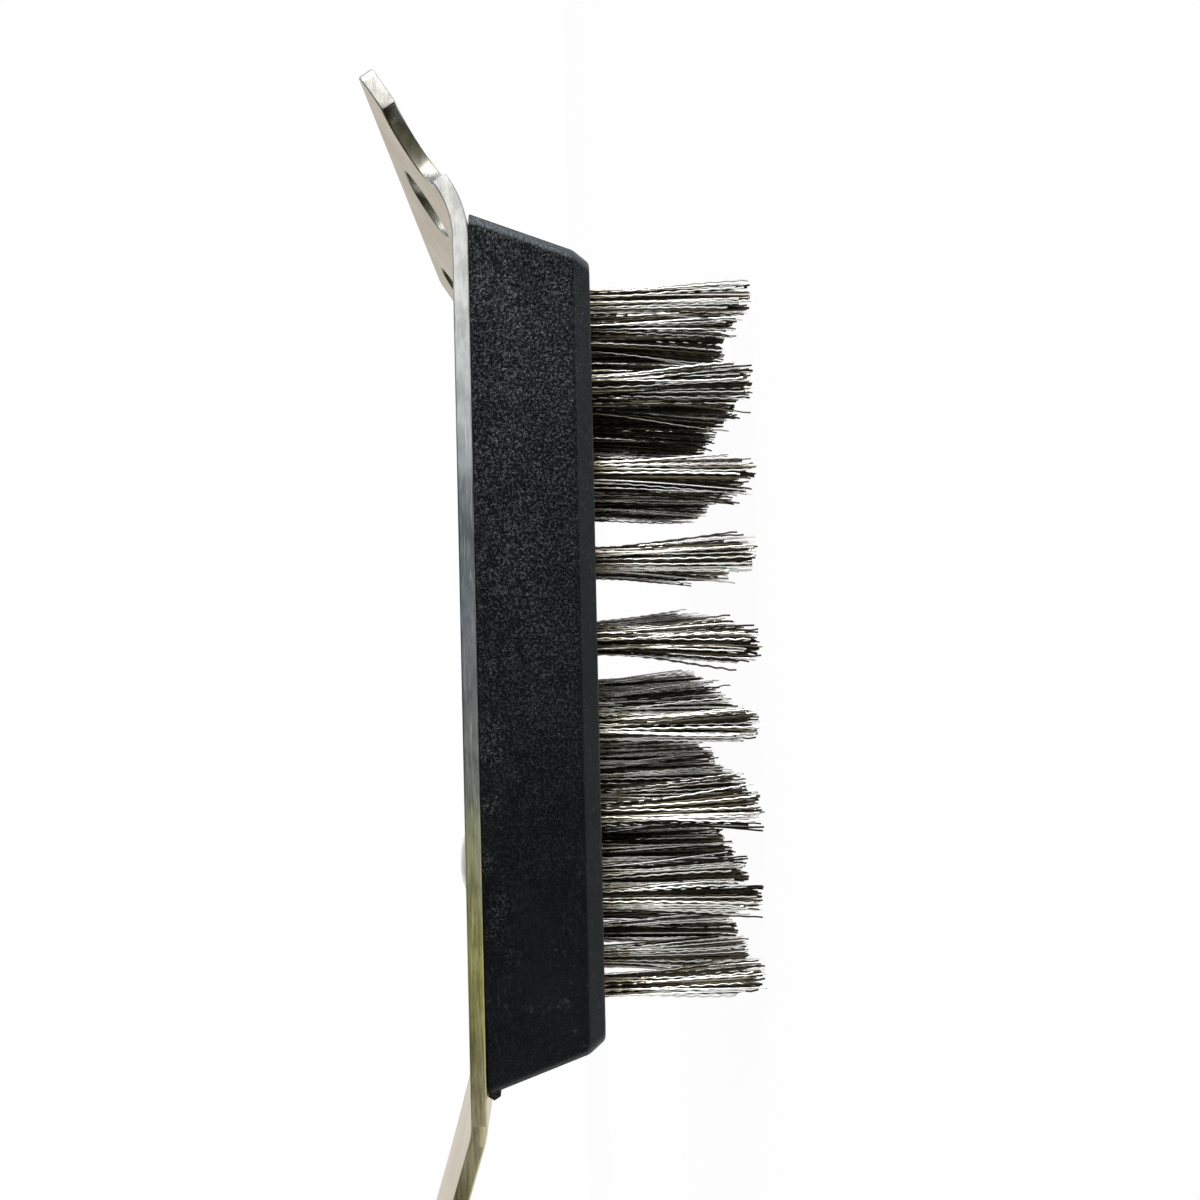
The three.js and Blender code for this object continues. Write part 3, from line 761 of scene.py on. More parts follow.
def sheet_edge_material(sheet):
    """The sheared edge, its base colour painted with reflections: bright at the scraper end, bluish behind the block,
    olive low down.
    """
    material, tree, shader, position = new_material("sheared edge", metallic=1.0)
    along = tree.add("ShaderNodeSeparateXYZ", {0: position}).outputs[1]
    wander = tree.noise(position, 1 / (7 * MM), detail=3.0)
    along = tree.plus(along, tree.times(tree.minus(wander, 0.5), 9 * MM))
    first, last = EDGE_REFLECTION_TONES[0][0], EDGE_REFLECTION_TONES[-1][0]
    values = {
        "Value": along,
        "From Min": HEAD_Y + first * MM,
        "From Max": HEAD_Y + last * MM,
    }
    share = tree.add("ShaderNodeMapRange", values).outputs[0]
    # The painted reflections follow the place along the sheet
    tones = [((y - first) / (last - first), colour) for y, colour in EDGE_REFLECTION_TONES]
    colour = tree.stops(share, tones)
    torn = tree.noise(position, 1 / (0.15 * MM), detail=3.0, roughness=0.65, stretch=(1.0, 0.03, 1.0))
    patches = tree.noise(position, 1 / (1.6 * MM), detail=3.0, roughness=0.6, stretch=(1.0, 0.4, 1.0))
    pits = tree.ramp(tree.noise(position, 1 / (0.7 * MM), detail=2.0), 0.66, 0.74)
    dull = tree.vector("SCALE", colour, scale=0.72)
    colour = tree.mix(tree.ramp(patches, 0.35, 0.65), colour, dull)
    flat_stretch = tree.ramp(along, HEAD_Y + 60 * MM, HEAD_Y + 54 * MM, 0.2, 1.0)
    glint = tree.times(tree.ramp(torn, 0.5, 0.75), tree.times(flat_stretch, 0.30))
    colour = tree.mix(glint, colour, tuple(sheet.edge_colour))
    colour = tree.mix(tree.times(pits, 0.15), colour, tuple(sheet.stain_colour))
    tree.link(colour, shader["Base Color"])
    rough = tree.ramp(torn, 0.3, 0.7, 0.24, 0.40)
    tree.link(rough, shader["Roughness"])
    bumped(tree, shader, tree.times(torn, flat_stretch), 0.015 * MM, 0.5)
    return material


class WIREBRUSH_OT_sheet(bpy.types.Operator):
    """Make the bent stainless sheet"""

    bl_idname = "wirebrush.sheet"
    bl_label = "Bent Sheet"

    def execute(self, context):
        """Folds the blank and replaces the sheet's solid."""
        sheet = settings("sheet")
        path = SheetPath(sheet)
        mesh = blank_mesh(sheet, path)
        fold_blank(mesh, path, BEND_STEPS)
        piece = new_piece("bent_sheet", mesh, sheet_face_material(sheet), sheet_edge_material(sheet))
        soften(piece, 40.0)
        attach(piece, BODY)
        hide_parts("back_plate")
        return {"FINISHED"}


# The block


def block_ring(block, height, drawn_in, corner_steps):
    """One level of the block, anticlockwise seen from above."""
    out_x = HALF_WIDTH - math.tan(block.side_draft) * height - drawn_in
    out_y = BLOCK_LENGTH / 2 - math.tan(block.end_draft) * height - drawn_in
    radius = block.corner_radius
    ring = []
    for quarter, (sign_x, sign_y) in enumerate(((1, 1), (-1, 1), (-1, -1), (1, -1))):
        centre = (sign_x * (out_x - radius), sign_y * (out_y - radius))
        turn = quarter * math.pi / 2
        ring += arc(centre, radius, turn, turn + math.pi / 2, corner_steps)
        if sign_x != sign_y:
            ring.append((sign_x * out_x, block.back_round_run - BLOCK_LENGTH / 2))
    return [(x, HEAD_Y + y, SHEET_FRONT_Z - height) for x, y in ring]


def block_mesh(block):
    """The block's moulded skin without its sockets."""
    rings = [block_ring(block, height, drawn_in, 8) for height, drawn_in in chamfer_levels(block)]
    steps = 6
    for i in range(steps + 1):
        turn = i / steps * math.pi / 2
        ring = []
        for k, (x, y, z) in enumerate(block_ring(block, 0.0, 0.0, 8)):
            share = max(0.0, 1 - (y - HEAD_Y + BLOCK_LENGTH / 2) / block.back_round_run)
            size = block.back_round + (block.back_round_end - block.back_round) * share
            ring.append(block_ring(block, size * (1 - math.sin(turn)), size * (1 - math.cos(turn)), 8)[k])
        rings.append(ring)
    return mesh_from(lambda shape: loft_rings(shape, rings))


def chamfer_levels(block):
    """Height below the sheet and drawn-in depth from the bristle face to the chamfer's upper edge, both rounded."""
    full = SHEET_FRONT_Z - FACE_Z
    reach = block.edge_round
    face = (full, block.chamfer_depth)
    edge = (full - block.chamfer_height, 0.0)
    share = reach / block.chamfer_height

    def between(start, end, amount):
        return tuple(a + (b - a) * amount for a, b in zip(start, end))

    def eased(start, corner, end, steps=4):
        points = []
        for i in range(steps + 1):
            u = i / steps
            points.append(between(between(start, corner, u), between(corner, end, u), u))
        return points

    lower = eased((full, block.chamfer_depth + reach), face, between(face, edge, share))
    upper = eased(between(face, edge, 1 - share), edge, (full - block.chamfer_height - reach, 0.0))
    return lower + upper


def tuft_field(block, tufts):
    """The half length and half width of the field between the outer tufts' middles."""
    height = SHEET_FRONT_Z - FACE_Z
    half_length = BLOCK_LENGTH / 2 - math.tan(block.end_draft) * height - block.chamfer_depth - tufts.end_margin
    half_width = HALF_WIDTH - math.tan(block.side_draft) * height - block.chamfer_depth - tufts.side_margin
    return half_length, half_width


def geometry_tree(name, inputs):
    """An empty geometry node tree with a geometry in and out and named inputs."""
    group = bpy.data.node_groups.new(name, "GeometryNodeTree")
    group.interface.new_socket("Geometry", in_out="INPUT", socket_type="NodeSocketGeometry")
    for label, kind in inputs:
        group.interface.new_socket(label, in_out="INPUT", socket_type=kind)
    group.interface.new_socket("Geometry", in_out="OUTPUT", socket_type="NodeSocketGeometry")
    tree = Tree(group)
    return group, tree, tree.add("NodeGroupInput").outputs, tree.add("NodeGroupOutput").inputs


def end_tree(tree, given, result, geometry):
    """Ends a geometry node tree: the geometry made real, with the given material."""
    real = tree.add("GeometryNodeRealizeInstances", {0: geometry}).outputs[0]
    values = {"Geometry": real, "Material": given["Material"]}
    tree.link(tree.add("GeometryNodeSetMaterial", values).outputs[0], result["Geometry"])


def run_tree(piece, group, values):
    """Runs a geometry node tree on a piece with values for its named inputs and bakes the result."""
    modifier = piece.modifiers.new(group.name, "NODES")
    modifier.node_group = group
    for item in group.interface.items_tree:
        if item.in_out == "INPUT" and item.name in values:
            modifier[item.identifier] = values[item.name]
    return bake_modifiers(piece)


def socket_tree():
    """A field of round cutters for the tufts' sockets, on a grid in the XY plane."""
    inputs = [
        ("Rows", "NodeSocketInt"),
        ("Columns", "NodeSocketInt"),
        ("Field Width", "NodeSocketFloat"),
        ("Field Length", "NodeSocketFloat"),
        ("Radius", "NodeSocketFloat"),
        ("Depth", "NodeSocketFloat"),
        ("Material", "NodeSocketMaterial"),
    ]
    group, tree, given, result = geometry_tree("tuft sockets", inputs)
    grid = tree.add(
        "GeometryNodeMeshGrid",
        {
            "Size X": given["Field Width"],
            "Size Y": given["Field Length"],
            "Vertices X": given["Rows"],
            "Vertices Y": given["Columns"],
        },
    ).outputs[0]
    cutter = tree.add(
        "GeometryNodeMeshCylinder",
        {"Vertices": 20, "Radius": given["Radius"], "Depth": given["Depth"]},
    ).outputs[0]
    placed = tree.add("GeometryNodeInstanceOnPoints", {"Points": grid, "Instance": cutter}).outputs[0]
    end_tree(tree, given, result, placed)
    return group


def block_material(block):
    """Black moulding: pebble grain and painted highlights on its creases, both strongest at the scraper end, where the
    light falls, and by the sheet; worn and scuffed at the other.
    """
    material, tree, shader, position = new_material("black moulding")
    parts = tree.add("ShaderNodeSeparateXYZ", {0: position}).outputs
    grain = use_group(tree, "Pebble Grain", {"Position": position, "Pebble Size": block.grain_size})
    # Sharper grain and stronger painted highlights towards the scraper end, where the light falls
    fresh_and_lit = tree.ramp(parts[1], HEAD_Y - 40 * MM, HEAD_Y + 44 * MM, 0.06, 1.0)
    handled = tree.ramp(parts[1], HEAD_Y - 26 * MM, HEAD_Y - 48 * MM)
    patches = tree.ramp(tree.noise(position, 1 / (5 * MM), detail=2.0), 0.42, 0.60)
    kept = tree.ramp(parts[2], SHEET_FRONT_Z - 6 * MM, SHEET_FRONT_Z - 1 * MM, 0.0, 0.75)
    fresh_and_lit = tree.math("MAXIMUM", fresh_and_lit, tree.times(kept, patches))
    scuffs = tree.ramp(tree.noise(position, 1 / (0.9 * MM), detail=4.0, roughness=0.7), 0.56, 0.72)
    scuffs = tree.times(tree.times(scuffs, handled), patches)
    edge_z = FACE_Z + block.chamfer_height
    above = tree.ramp(parts[2], edge_z - 0.4 * MM, edge_z + 1.0 * MM, 0.12, 1.0)
    fresh_and_lit = tree.times(fresh_and_lit, above)
    marks = use_group(tree, "Handling Marks", {"Position": position, "Size": 8 * MM})["Mask"]
    scratches = use_group(
        tree,
        "Fine Scratches",
        {"Position": position, "Stretch": (1.0, 0.35, 0.9), "Width": 0.35 * MM, "Amount": 0.8},
    )["Mask"]
    base = tuple(block.colour)
    crease = tuple(block.crease_highlight_colour)
    shown = tree.times(fresh_and_lit, tree.ramp(marks, 0.0, 1.0, 0.65, 1.0))
    creases = tree.times(grain["Creases"], shown)
    # Painted highlights on the grain's creases
    colour = tree.mix(tree.times(creases, 0.9), base, crease)
    colour = tree.mix(tree.times(marks, 0.06), colour, crease)
    colour = tree.mix(tree.times(scratches, 0.12), colour, (0.10, 0.105, 0.11))
    colour = tree.mix(tree.times(scuffs, 0.45), colour, (0.10, 0.10, 0.10))
    tree.link(colour, shader["Base Color"])
    outward = tree.add("ShaderNodeSeparateXYZ", {0: tree.add("ShaderNodeNewGeometry").outputs["Normal"]}).outputs
    steep = tree.ramp(outward[1], 0.90, 0.60, 0.15, 1.0)
    polished = tree.times(tree.ramp(outward[1], 0.10, 0.40), steep)
    chamfer = tree.ramp(outward[2], -0.14, -0.28)
    shine = tree.plus(tree.times(creases, 1.3), tree.times(polished, 0.60))
    shine = tree.plus(shine, tree.times(chamfer, 0.20))
    shine = tree.plus(shine, tree.times(handled, 0.05))
    shine = tree.plus(shine, tree.times(scratches, 0.10))
    tree.link(tree.plus(shine, 0.045), shader["Specular IOR Level"])
    tree.link(tree.mix(polished, (0.90, 0.98, 1.0), (0.72, 0.86, 1.0)), shader["Specular Tint"])
    end_face = tree.ramp(tree.math("ABSOLUTE", outward[1]), 0.55, 0.88, 0.0, 0.35)
    rough = tree.plus(tree.ramp(marks, 0.0, 1.0, 0.34, 0.46), end_face)
    tree.link(rough, shader["Roughness"])
    height = tree.times(grain["Height"], tree.ramp(fresh_and_lit, 0.0, 1.0, 0.30, 1.0))
    height = tree.times(height, tree.minus(1.0, tree.times(polished, 0.7)))
    height = tree.minus(height, tree.times(scratches, 0.3))
    bumped(tree, shader, height, 0.16 * MM)
    return material


def gate_nub_mesh():
    """The leftover of the mould's gate, a small wedge low on the handle end."""
    low = BLOCK_LOW.y
    back = HEAD_Y - BLOCK_LENGTH / 2 + 1.0 * MM
    rise = 1.6 * MM
    top, bottom = SHEET_FRONT_Z - 0.05 * MM, SHEET_FRONT_Z - rise
    edge = HEAD_Y - BLOCK_LENGTH / 2
    wedge = ((back, top), (edge, top), (low, (top + bottom) / 2), (edge, bottom), (back, bottom))
    rings = [[(x, y, z) for y, z in wedge] for x in (HALF_WIDTH - 3.0 * MM, HALF_WIDTH - 1.2 * MM)]
    return mesh_from(lambda shape: loft_rings(shape, rings))


class WIREBRUSH_OT_block(bpy.types.Operator):
    """Make the moulded block with its tuft sockets"""

    bl_idname = "wirebrush.block"
    bl_label = "Moulded Block"

    def execute(self, context):
        """Cuts the sockets in the block and replaces the block's solid."""
        block, tufts = settings("block"), settings("tufts")
        material = block_material(block)
        piece = new_piece("moulded_block", block_mesh(block), material)
        half_length, half_width = tuft_field(block, tufts)
        sockets = new_piece("sockets", bpy.data.meshes.new("sockets"))
        values = {
            "Rows": tufts.rows,
            "Columns": tufts.columns,
            "Field Width": 2 * half_width,
            "Field Length": 2 * half_length,
            "Radius": block.socket_radius,
            "Depth": 2 * block.socket_depth,
            "Material": material,
        }
        run_tree(sockets, socket_tree(), values)
        sockets.data.transform(Matrix.Translation((0.0, HEAD_Y + tufts.field_shift, FACE_Z)))
        cut_away(piece, [sockets])
        shape = bmesh.new()
        shape.from_mesh(piece.data)
        shape.from_mesh(gate_nub_mesh())
        shape.to_mesh(piece.data)
        shape.free()
        soften(piece, 38.0)
        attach(piece, BODY)
        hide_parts("brush_block")
        return {"FINISHED"}


# The tufts


def wire_tree():
    """One row of tufts: every wire is a zigzag of steps that splays, bows and ends raggedly."""
    inputs = [
        ("Tufts", "NodeSocketInt"),
        ("Row Length", "NodeSocketFloat"),
        ("Wires", "NodeSocketInt"),
        ("Steps", "NodeSocketInt"),
        ("Length", "NodeSocketFloat"),
        ("Root Radius", "NodeSocketFloat"),
        ("Tip Radius", "NodeSocketFloat"),
        ("Wire Radius", "NodeSocketFloat"),
        ("Crimp", "NodeSocketFloat"),
        ("Ragged", "NodeSocketFloat"),
        ("Bow", "NodeSocketFloat"),
        ("Strand", "NodeSocketFloat"),
        ("Lean", "NodeSocketFloat"),
        ("Side Lean", "NodeSocketFloat"),
        ("Soil", "NodeSocketFloat"),
        ("Seed", "NodeSocketInt"),
        ("Material", "NodeSocketMaterial"),
    ]
    group, tree, given, result = geometry_tree("crimped wires", inputs)

    def random(low, high, identity, offset):
        seed = tree.plus(given["Seed"], offset)
        node = tree.add("FunctionNodeRandomValue", data_type="FLOAT")
        for index, value in ((2, low), (3, high), (7, identity), (8, seed)):
            if isinstance(value, bpy.types.NodeSocket):
                tree.link(value, node.inputs[index])
            else:
                node.inputs[index].default_value = value
        return node.outputs[1]

    count = tree.times(given["Tufts"], given["Wires"])
    roots = tree.add("GeometryNodePoints", {"Count": count}).outputs[0]
    line = tree.add("GeometryNodeMeshLine", {"Count": given["Steps"]}).outputs[0]
    placed = tree.add("GeometryNodeInstanceOnPoints", {"Points": roots, "Instance": line}).outputs[0]
    lines = tree.add("GeometryNodeRealizeInstances", {0: placed}).outputs[0]

    index = tree.add("GeometryNodeInputIndex").outputs[0]
    wire = tree.math("FLOOR", tree.over(tree.plus(index, 0.5), given["Steps"]))
    step = tree.minus(index, tree.times(wire, given["Steps"]))
    tuft = tree.math("FLOOR", tree.over(tree.plus(wire, 0.5), given["Wires"]))
    number = tree.minus(wire, tree.times(tuft, given["Wires"]))
    along = tree.over(step, tree.minus(given["Steps"], 1.0))

    golden = math.pi * (3 - math.sqrt(5))
    share = tree.math("SQRT", tree.over(tree.plus(number, 0.5), given["Wires"]))
    start_turn = random(0.0, 2 * math.pi, tuft, 1)
    turn = tree.plus(tree.times(number, golden), start_turn)
    turn = tree.plus(turn, random(-0.35, 0.35, wire, 2))
    flare = tree.math("POWER", along, 1.5)
    stray = tree.times(tree.math("GREATER_THAN", random(0.0, 1.0, wire, 3), 0.955), 0.75)
    spread = tree.times(given["Tip Radius"], tree.plus(random(0.72, 1.12, wire, 4), stray))
    growth = tree.minus(spread, given["Root Radius"])
    reach = tree.plus(given["Root Radius"], tree.times(growth, flare))
    reach = tree.times(reach, share)
    out = tree.combine(tree.math("COSINE", turn), tree.math("SINE", turn), 0.0)
    place = tree.vector("SCALE", out, scale=reach)

    gap = tree.over(given["Row Length"], tree.minus(given["Tufts"], 1.0))
    tuft_y = tree.minus(tree.times(tuft, gap), tree.times(given["Row Length"], 0.5))
    place = tree.vector("ADD", place, tree.combine(0.0, tuft_y, 0.0))

    lean_x = tree.plus(tree.times(random(-1.0, 1.0, tuft, 5), given["Lean"]), given["Side Lean"])
    lean_y = tree.times(random(-1.0, 1.0, tuft, 6), given["Lean"])
    lean = tree.vector("SCALE", tree.combine(lean_x, lean_y, 0.0), scale=flare)
    place = tree.vector("ADD", place, lean)

    strand = tree.times(tuft, 64.0)
    for axis, weight, offset in ((0, 8.0, 15), (1, 1.0, 16)):
        way = tree.add("ShaderNodeSeparateXYZ", {0: out}).outputs[axis]
        cell = tree.times(tree.times(way, share), 1.5)
        cell = tree.math("FLOOR", tree.plus(cell, random(4.0, 5.0, tuft, offset)))
        strand = tree.plus(strand, tree.times(cell, weight))
    moved = tree.combine(random(-1.0, 1.0, strand, 17), random(-1.0, 1.0, strand, 18), 0.0)
    moved = tree.vector("SCALE", moved, scale=tree.times(given["Strand"], flare))
    place = tree.vector("ADD", place, moved)

    bow_turn = random(0.0, 2 * math.pi, wire, 7)
    bow_size = tree.times(given["Bow"], random(-1.0, 1.0, wire, 8))
    bow_shape = tree.times(tree.math("SINE", tree.times(along, 2.4)), along)
    bow = tree.combine(tree.math("COSINE", bow_turn), tree.math("SINE", bow_turn), 0.0)
    place = tree.vector("ADD", place, tree.vector("SCALE", bow, scale=tree.times(bow_size, bow_shape)))

    sign = tree.minus(tree.times(tree.math("MODULO", step, 2.0), 2.0), 1.0)
    crimp_turn = random(0.0, 2 * math.pi, wire, 9)
    crimp_size = tree.times(given["Crimp"], random(0.6, 1.2, wire, 10))
    crimp = tree.combine(tree.math("COSINE", crimp_turn), tree.math("SINE", crimp_turn), 0.0)
    crimp = tree.vector("SCALE", crimp, scale=tree.times(crimp_size, sign))
    place = tree.vector("ADD", place, crimp)

    outer = tree.plus(tree.math("POWER", share, 3.0), 0.42)
    short = tree.times(tree.math("POWER", random(0.0, 1.0, wire, 11), 1.3), outer)
    length = tree.minus(given["Length"], tree.times(given["Ragged"], short))
    phase = tree.times(random(-0.4, 0.4, wire, 12), tree.over(given["Length"], given["Steps"]))
    inside = tree.times(along, tree.minus(1.0, along))
    drop = tree.plus(tree.times(length, along), tree.times(phase, inside))
    place = tree.vector("ADD", place, tree.combine(0.0, 0.0, tree.times(drop, -1.0)))
    shaped = tree.add("GeometryNodeSetPosition", {"Geometry": lines, "Position": place}).outputs[0]

    # Dark wires: soil, with painted shade in the middle rows and in each tuft's core; more of them towards the scraper
    # end
    chance = tree.plus(random(0.0, 0.45, strand, 19), random(0.0, 0.55, wire, 13))
    core_soil_and_shade = tree.ramp(share, 0.80, 0.55, 0.0, 0.4)
    darker_to_scraper_end = tree.times(tree.over(tuft, given["Tufts"]), 0.2)
    limit = tree.plus(given["Soil"], tree.plus(core_soil_and_shade, darker_to_scraper_end))
    soiled_and_shaded = tree.math("LESS_THAN", chance, limit)
    clean_and_lit = tree.minus(1.0, soiled_and_shaded)
    tone = tree.plus(random(0.0, 0.36, wire, 14), tree.times(clean_and_lit, 0.62), clamp=True)
    stored = tree.add(
        "GeometryNodeStoreNamedAttribute",
        {"Geometry": shaped, "Name": "wire_tone", "Value": tone},
        data_type="FLOAT",
        domain="POINT",
    ).outputs[0]
    curves = tree.add("GeometryNodeMeshToCurve", {"Mesh": stored}).outputs[0]
    profile = tree.add(
        "GeometryNodeCurvePrimitiveCircle", {"Resolution": 4, "Radius": given["Wire Radius"]}, mode="RADIUS"
    ).outputs[0]
    tubes = tree.add(
        "GeometryNodeCurveToMesh", {"Curve": curves, "Profile Curve": profile, "Fill Caps": True}
    ).outputs[0]
    smooth = tree.add("GeometryNodeSetShadeSmooth", {"Geometry": tubes, "Shade Smooth": True}).outputs[0]
    end_tree(tree, given, result, smooth)
    return group


# Base colours of a wire, from dark to bright; the dark end is soil and painted shade
WIRE_TONES = (
    (0.0, (0.008, 0.0072, 0.005)),
    (0.20, (0.032, 0.0275, 0.018)),
    (0.34, (0.110, 0.096, 0.062)),
    (0.50, (0.330, 0.305, 0.230)),
    (0.68, (0.800, 0.790, 0.735)),
    (1.0, (0.980, 0.975, 0.955)),
)


def wire_material():
    """Crimped stainless wire, from bright to dark by its stored tone, with duller stretches and roots darkened by
    grime and painted shade.
    """
    material, tree, shader, position = new_material("crimped wire", metallic=1.0)
    tone = tree.add("ShaderNodeAttribute", attribute_name="wire_tone").outputs["Fac"]
    depth = tree.add("ShaderNodeSeparateXYZ", {0: position}).outputs[2]
    dull = tree.noise(position, 1 / (3.2 * MM), detail=2.0, roughness=0.6)
    tone = tree.times(tone, tree.ramp(dull, 0.3, 0.55, 0.75, 1.0))
    # Darker towards the roots, by the block: grime and painted shade
    tone = tree.times(tone, tree.ramp(depth, FACE_Z + 1 * MM, FACE_Z - 9 * MM, 0.62, 1.12))
    tree.link(tree.stops(tone, WIRE_TONES), shader["Base Color"])
    tree.link(tree.ramp(tone, 0.0, 1.0, 0.40, 0.12), shader["Roughness"])
    return material


class WIREBRUSH_OT_tufts(bpy.types.Operator):
    """Make the rows of crimped wire tufts"""

    bl_idname = "wirebrush.tufts"
    bl_label = "Wire Tufts"

    def execute(self, context):
        """Makes one piece for each row; together they replace the tuft beds."""
        block, tufts = settings("block"), settings("tufts")
        half_length, half_width = tuft_field(block, tufts)
        material = wire_material()
        tree = wire_tree()
        outer = (tufts.rows - 1) / 2
        for row in range(tufts.rows):
            off_middle = (row - outer) / outer
            piece = new_piece(f"tuft_row_{row + 1}", bpy.data.meshes.new("tuft row"))
            values = {
                "Tufts": tufts.columns,
                "Row Length": 2 * half_length,
                "Wires": tufts.wires,
                "Steps": tufts.steps,
                "Length": FACE_Z + tufts.root_depth - tufts.wire_radius / 2,
                "Root Radius": tufts.root_radius,
                "Tip Radius": tufts.tip_radius,
                "Wire Radius": tufts.wire_radius,
                "Crimp": tufts.crimp,
                "Ragged": tufts.ragged,
                "Bow": tufts.bow,
                "Strand": tufts.strand,
                "Lean": tufts.lean,
                "Side Lean": tufts.lean * off_middle,
                # More dark wires in the middle rows: soil and painted shade
                "Soil": MIDDLE_SOIL_AND_SHADE - SIDE_ROWS_CLEANER_AND_LIGHTER * abs(off_middle) ** 2,
                "Seed": 100 * (row + 1),
                "Material": material,
            }
            run_tree(piece, tree, values)
            middle_y = HEAD_Y + tufts.field_shift
            piece.data.transform(Matrix.Translation((off_middle * half_width, middle_y, FACE_Z + tufts.root_depth)))
            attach(piece, BODY)
            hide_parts(*BED_NODES)
        return {"FINISHED"}


# The fasteners


def fastener_material(fasteners):
    """Bright plated steel with a drawn sheen and fine marks."""
    material, tree, shader, position = new_material("bright fastener", metallic=1.0)
    marks = use_group(tree, "Handling Marks", {"Position": position, "Size": 3 * MM})["Mask"]
    scratches = use_group(
        tree,
        "Fine Scratches",
        {"Position": position, "Stretch": (1.0, 0.3, 1.0), "Width": 0.08 * MM, "Amount": 0.7},
    )["Mask"]
    base = tuple(fasteners.colour)
    colour = tree.mix(tree.times(marks, 0.4), base, tuple(channel * 0.7 for channel in base))
    tree.link(colour, shader["Base Color"])
    rough = tree.plus(tree.ramp(marks, 0.0, 1.0, 0.16, 0.30), tree.times(scratches, 0.2))
    tree.link(rough, shader["Roughness"])
    bumped(tree, shader, scratches, 0.01 * MM, 0.5)
    return material


def fastener_tree():
    """One fastener on each point of a mesh, all turned alike."""
    inputs = [
        ("Fastener", "NodeSocketObject"),
        ("Tilt", "NodeSocketRotation"),
        ("Material", "NodeSocketMaterial"),
    ]
    group, tree, given, result = geometry_tree("fasteners on points", inputs)
    shape = tree.add("GeometryNodeObjectInfo", {"Object": given["Fastener"]}).outputs["Geometry"]
    values = {"Points": given["Geometry"], "Instance": shape, "Rotation": given["Tilt"]}
    placed = tree.add("GeometryNodeInstanceOnPoints", values).outputs[0]
    end_tree(tree, given, result, placed)
    return group


def place_fasteners(name, master, places, tilt, material):
    """One piece with a copy of the master at each place."""
    mesh = bpy.data.meshes.new(name)
    mesh.from_pydata([tuple(place) for place in places], [], [])
    piece = new_piece(name, mesh)
    group = bpy.data.node_groups.get("fasteners on points") or fastener_tree()
    run_tree(piece, group, {"Fastener": master, "Tilt": tilt, "Material": material})
    bpy.data.objects.remove(master)
    return piece


def screw_master(fasteners):
    """A screw's head with its cross recess and the start of its shank, its seat at height zero."""
    radius = fasteners.screw_head_diameter / 2
    shank = 0.45 * radius
    profile = [(0.0, -1.2 * MM), (shank, -1.2 * MM), (shank, 0.0), (radius - 0.1 * MM, 0.0)]
    profile += dome(radius, fasteners.screw_rim, fasteners.screw_head_height, 12)
    screw = new_piece("screw", mesh_from(lambda shape: spin_profile(shape, profile, 48)))
    bars = []
    depth = 2 * fasteners.recess_depth
    for span_x, span_y in (
        (fasteners.recess_span, fasteners.recess_bar),
        (fasteners.recess_bar, fasteners.recess_span),
    ):
        size = Matrix.Diagonal((span_x, span_y, depth, 1.0))
        bar = mesh_from(lambda shape: bmesh.ops.create_cube(shape, size=1.0, matrix=size))
        taper_bar(bar, fasteners.recess_depth)
        bar.transform(Matrix.Translation((0.0, 0.0, fasteners.screw_head_height)))
        bars.append(new_piece("recess bar", bar))
    cut_away(screw, bars)
    smooth_by_angle(screw.data, 32.0)
    return screw


def taper_bar(mesh, depth):
    """Draws a recess bar's lower end in, so that the recess narrows as it goes down."""
    for vert in mesh.vertices:
        if vert.co.z < -depth / 2:
            vert.co.x *= 0.55
            vert.co.y *= 0.55


class WIREBRUSH_OT_screws(bpy.types.Operator):
    """Make the screws that hold the block"""

    bl_idname = "wirebrush.screws"
    bl_label = "Plate Screws"

    def execute(self, context):
        """Seats a screw where each screw's solid is."""
        fasteners = settings("fasteners")
        seat_z = SHEET_FRONT_Z + settings("sheet").thickness
        places = []
        for node in SCREW_NODES:
            centre = middle(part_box(node))
            places.append((centre.x, centre.y, seat_z))
        material = fastener_material(fasteners)
        piece = place_fasteners("plate_screws", screw_master(fasteners), places, (0.0, 0.0, 0.0), material)
        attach(piece, BODY)
        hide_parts(*SCREW_NODES)
        return {"FINISHED"}


def rivet_master(fasteners, seat):
    """A rivet with a domed head at both ends, its middle at height zero."""
    radius = fasteners.rivet_head_diameter / 2
    head = dome(radius, seat + fasteners.rivet_rim, seat + fasteners.rivet_head_height, 10)
    shank = 0.58 * radius
    upper = [(shank, seat), (radius - 0.15 * MM, seat)] + head
    profile = [(r, -z) for r, z in reversed(upper)] + upper
    rivet = new_piece("rivet", mesh_from(lambda shape: spin_profile(shape, profile, 40)))
    smooth_by_angle(rivet.data, 40.0)
    return rivet


class WIREBRUSH_OT_rivets(bpy.types.Operator):
    """Make the rivets of the grip"""

    bl_idname = "wirebrush.rivets"
    bl_label = "Grip Rivets"

    def execute(self, context):
        """Seats the three rivets square to the tang."""
        fasteners, grip, sheet = settings("fasteners"), settings("grip"), settings("sheet")
        path = SheetPath(sheet)
        to_frame = path.tang_matrix()
        seat = sheet.thickness / 2 + grip.thickness - grip.seat_depth + grip.fit_gap
        places = [to_frame @ Vector((0.0, -distance, sheet.thickness / 2)) for distance in grip_places()[3]]
        master = rivet_master(fasteners, seat)
        material = fastener_material(fasteners)
        tilt = (-path.shank_angle, 0.0, 0.0)
        piece = place_fasteners("grip_rivets", master, places, tilt, material)
        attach(piece, BODY)
        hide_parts(*RIVET_NODES)
        return {"FINISHED"}


# The grip


# Shares of a grip scale's length, thickness and width
GRIP_STATION_SHARES = (
    (0.0, 0.30, 0.78),
    (0.02, 0.62, 0.90),
    (0.06, 0.86, 0.98),
    (0.13, 0.96, 1.0),
    (0.26, 1.0, 1.0),
    (0.42, 0.93, 1.0),
    (0.58, 0.93, 1.0),
    (0.76, 1.0, 1.0),
    (0.88, 0.97, 1.0),
    (0.95, 0.86, 0.98),
    (0.985, 0.62, 0.90),
    (1.0, 0.30, 0.78),
)


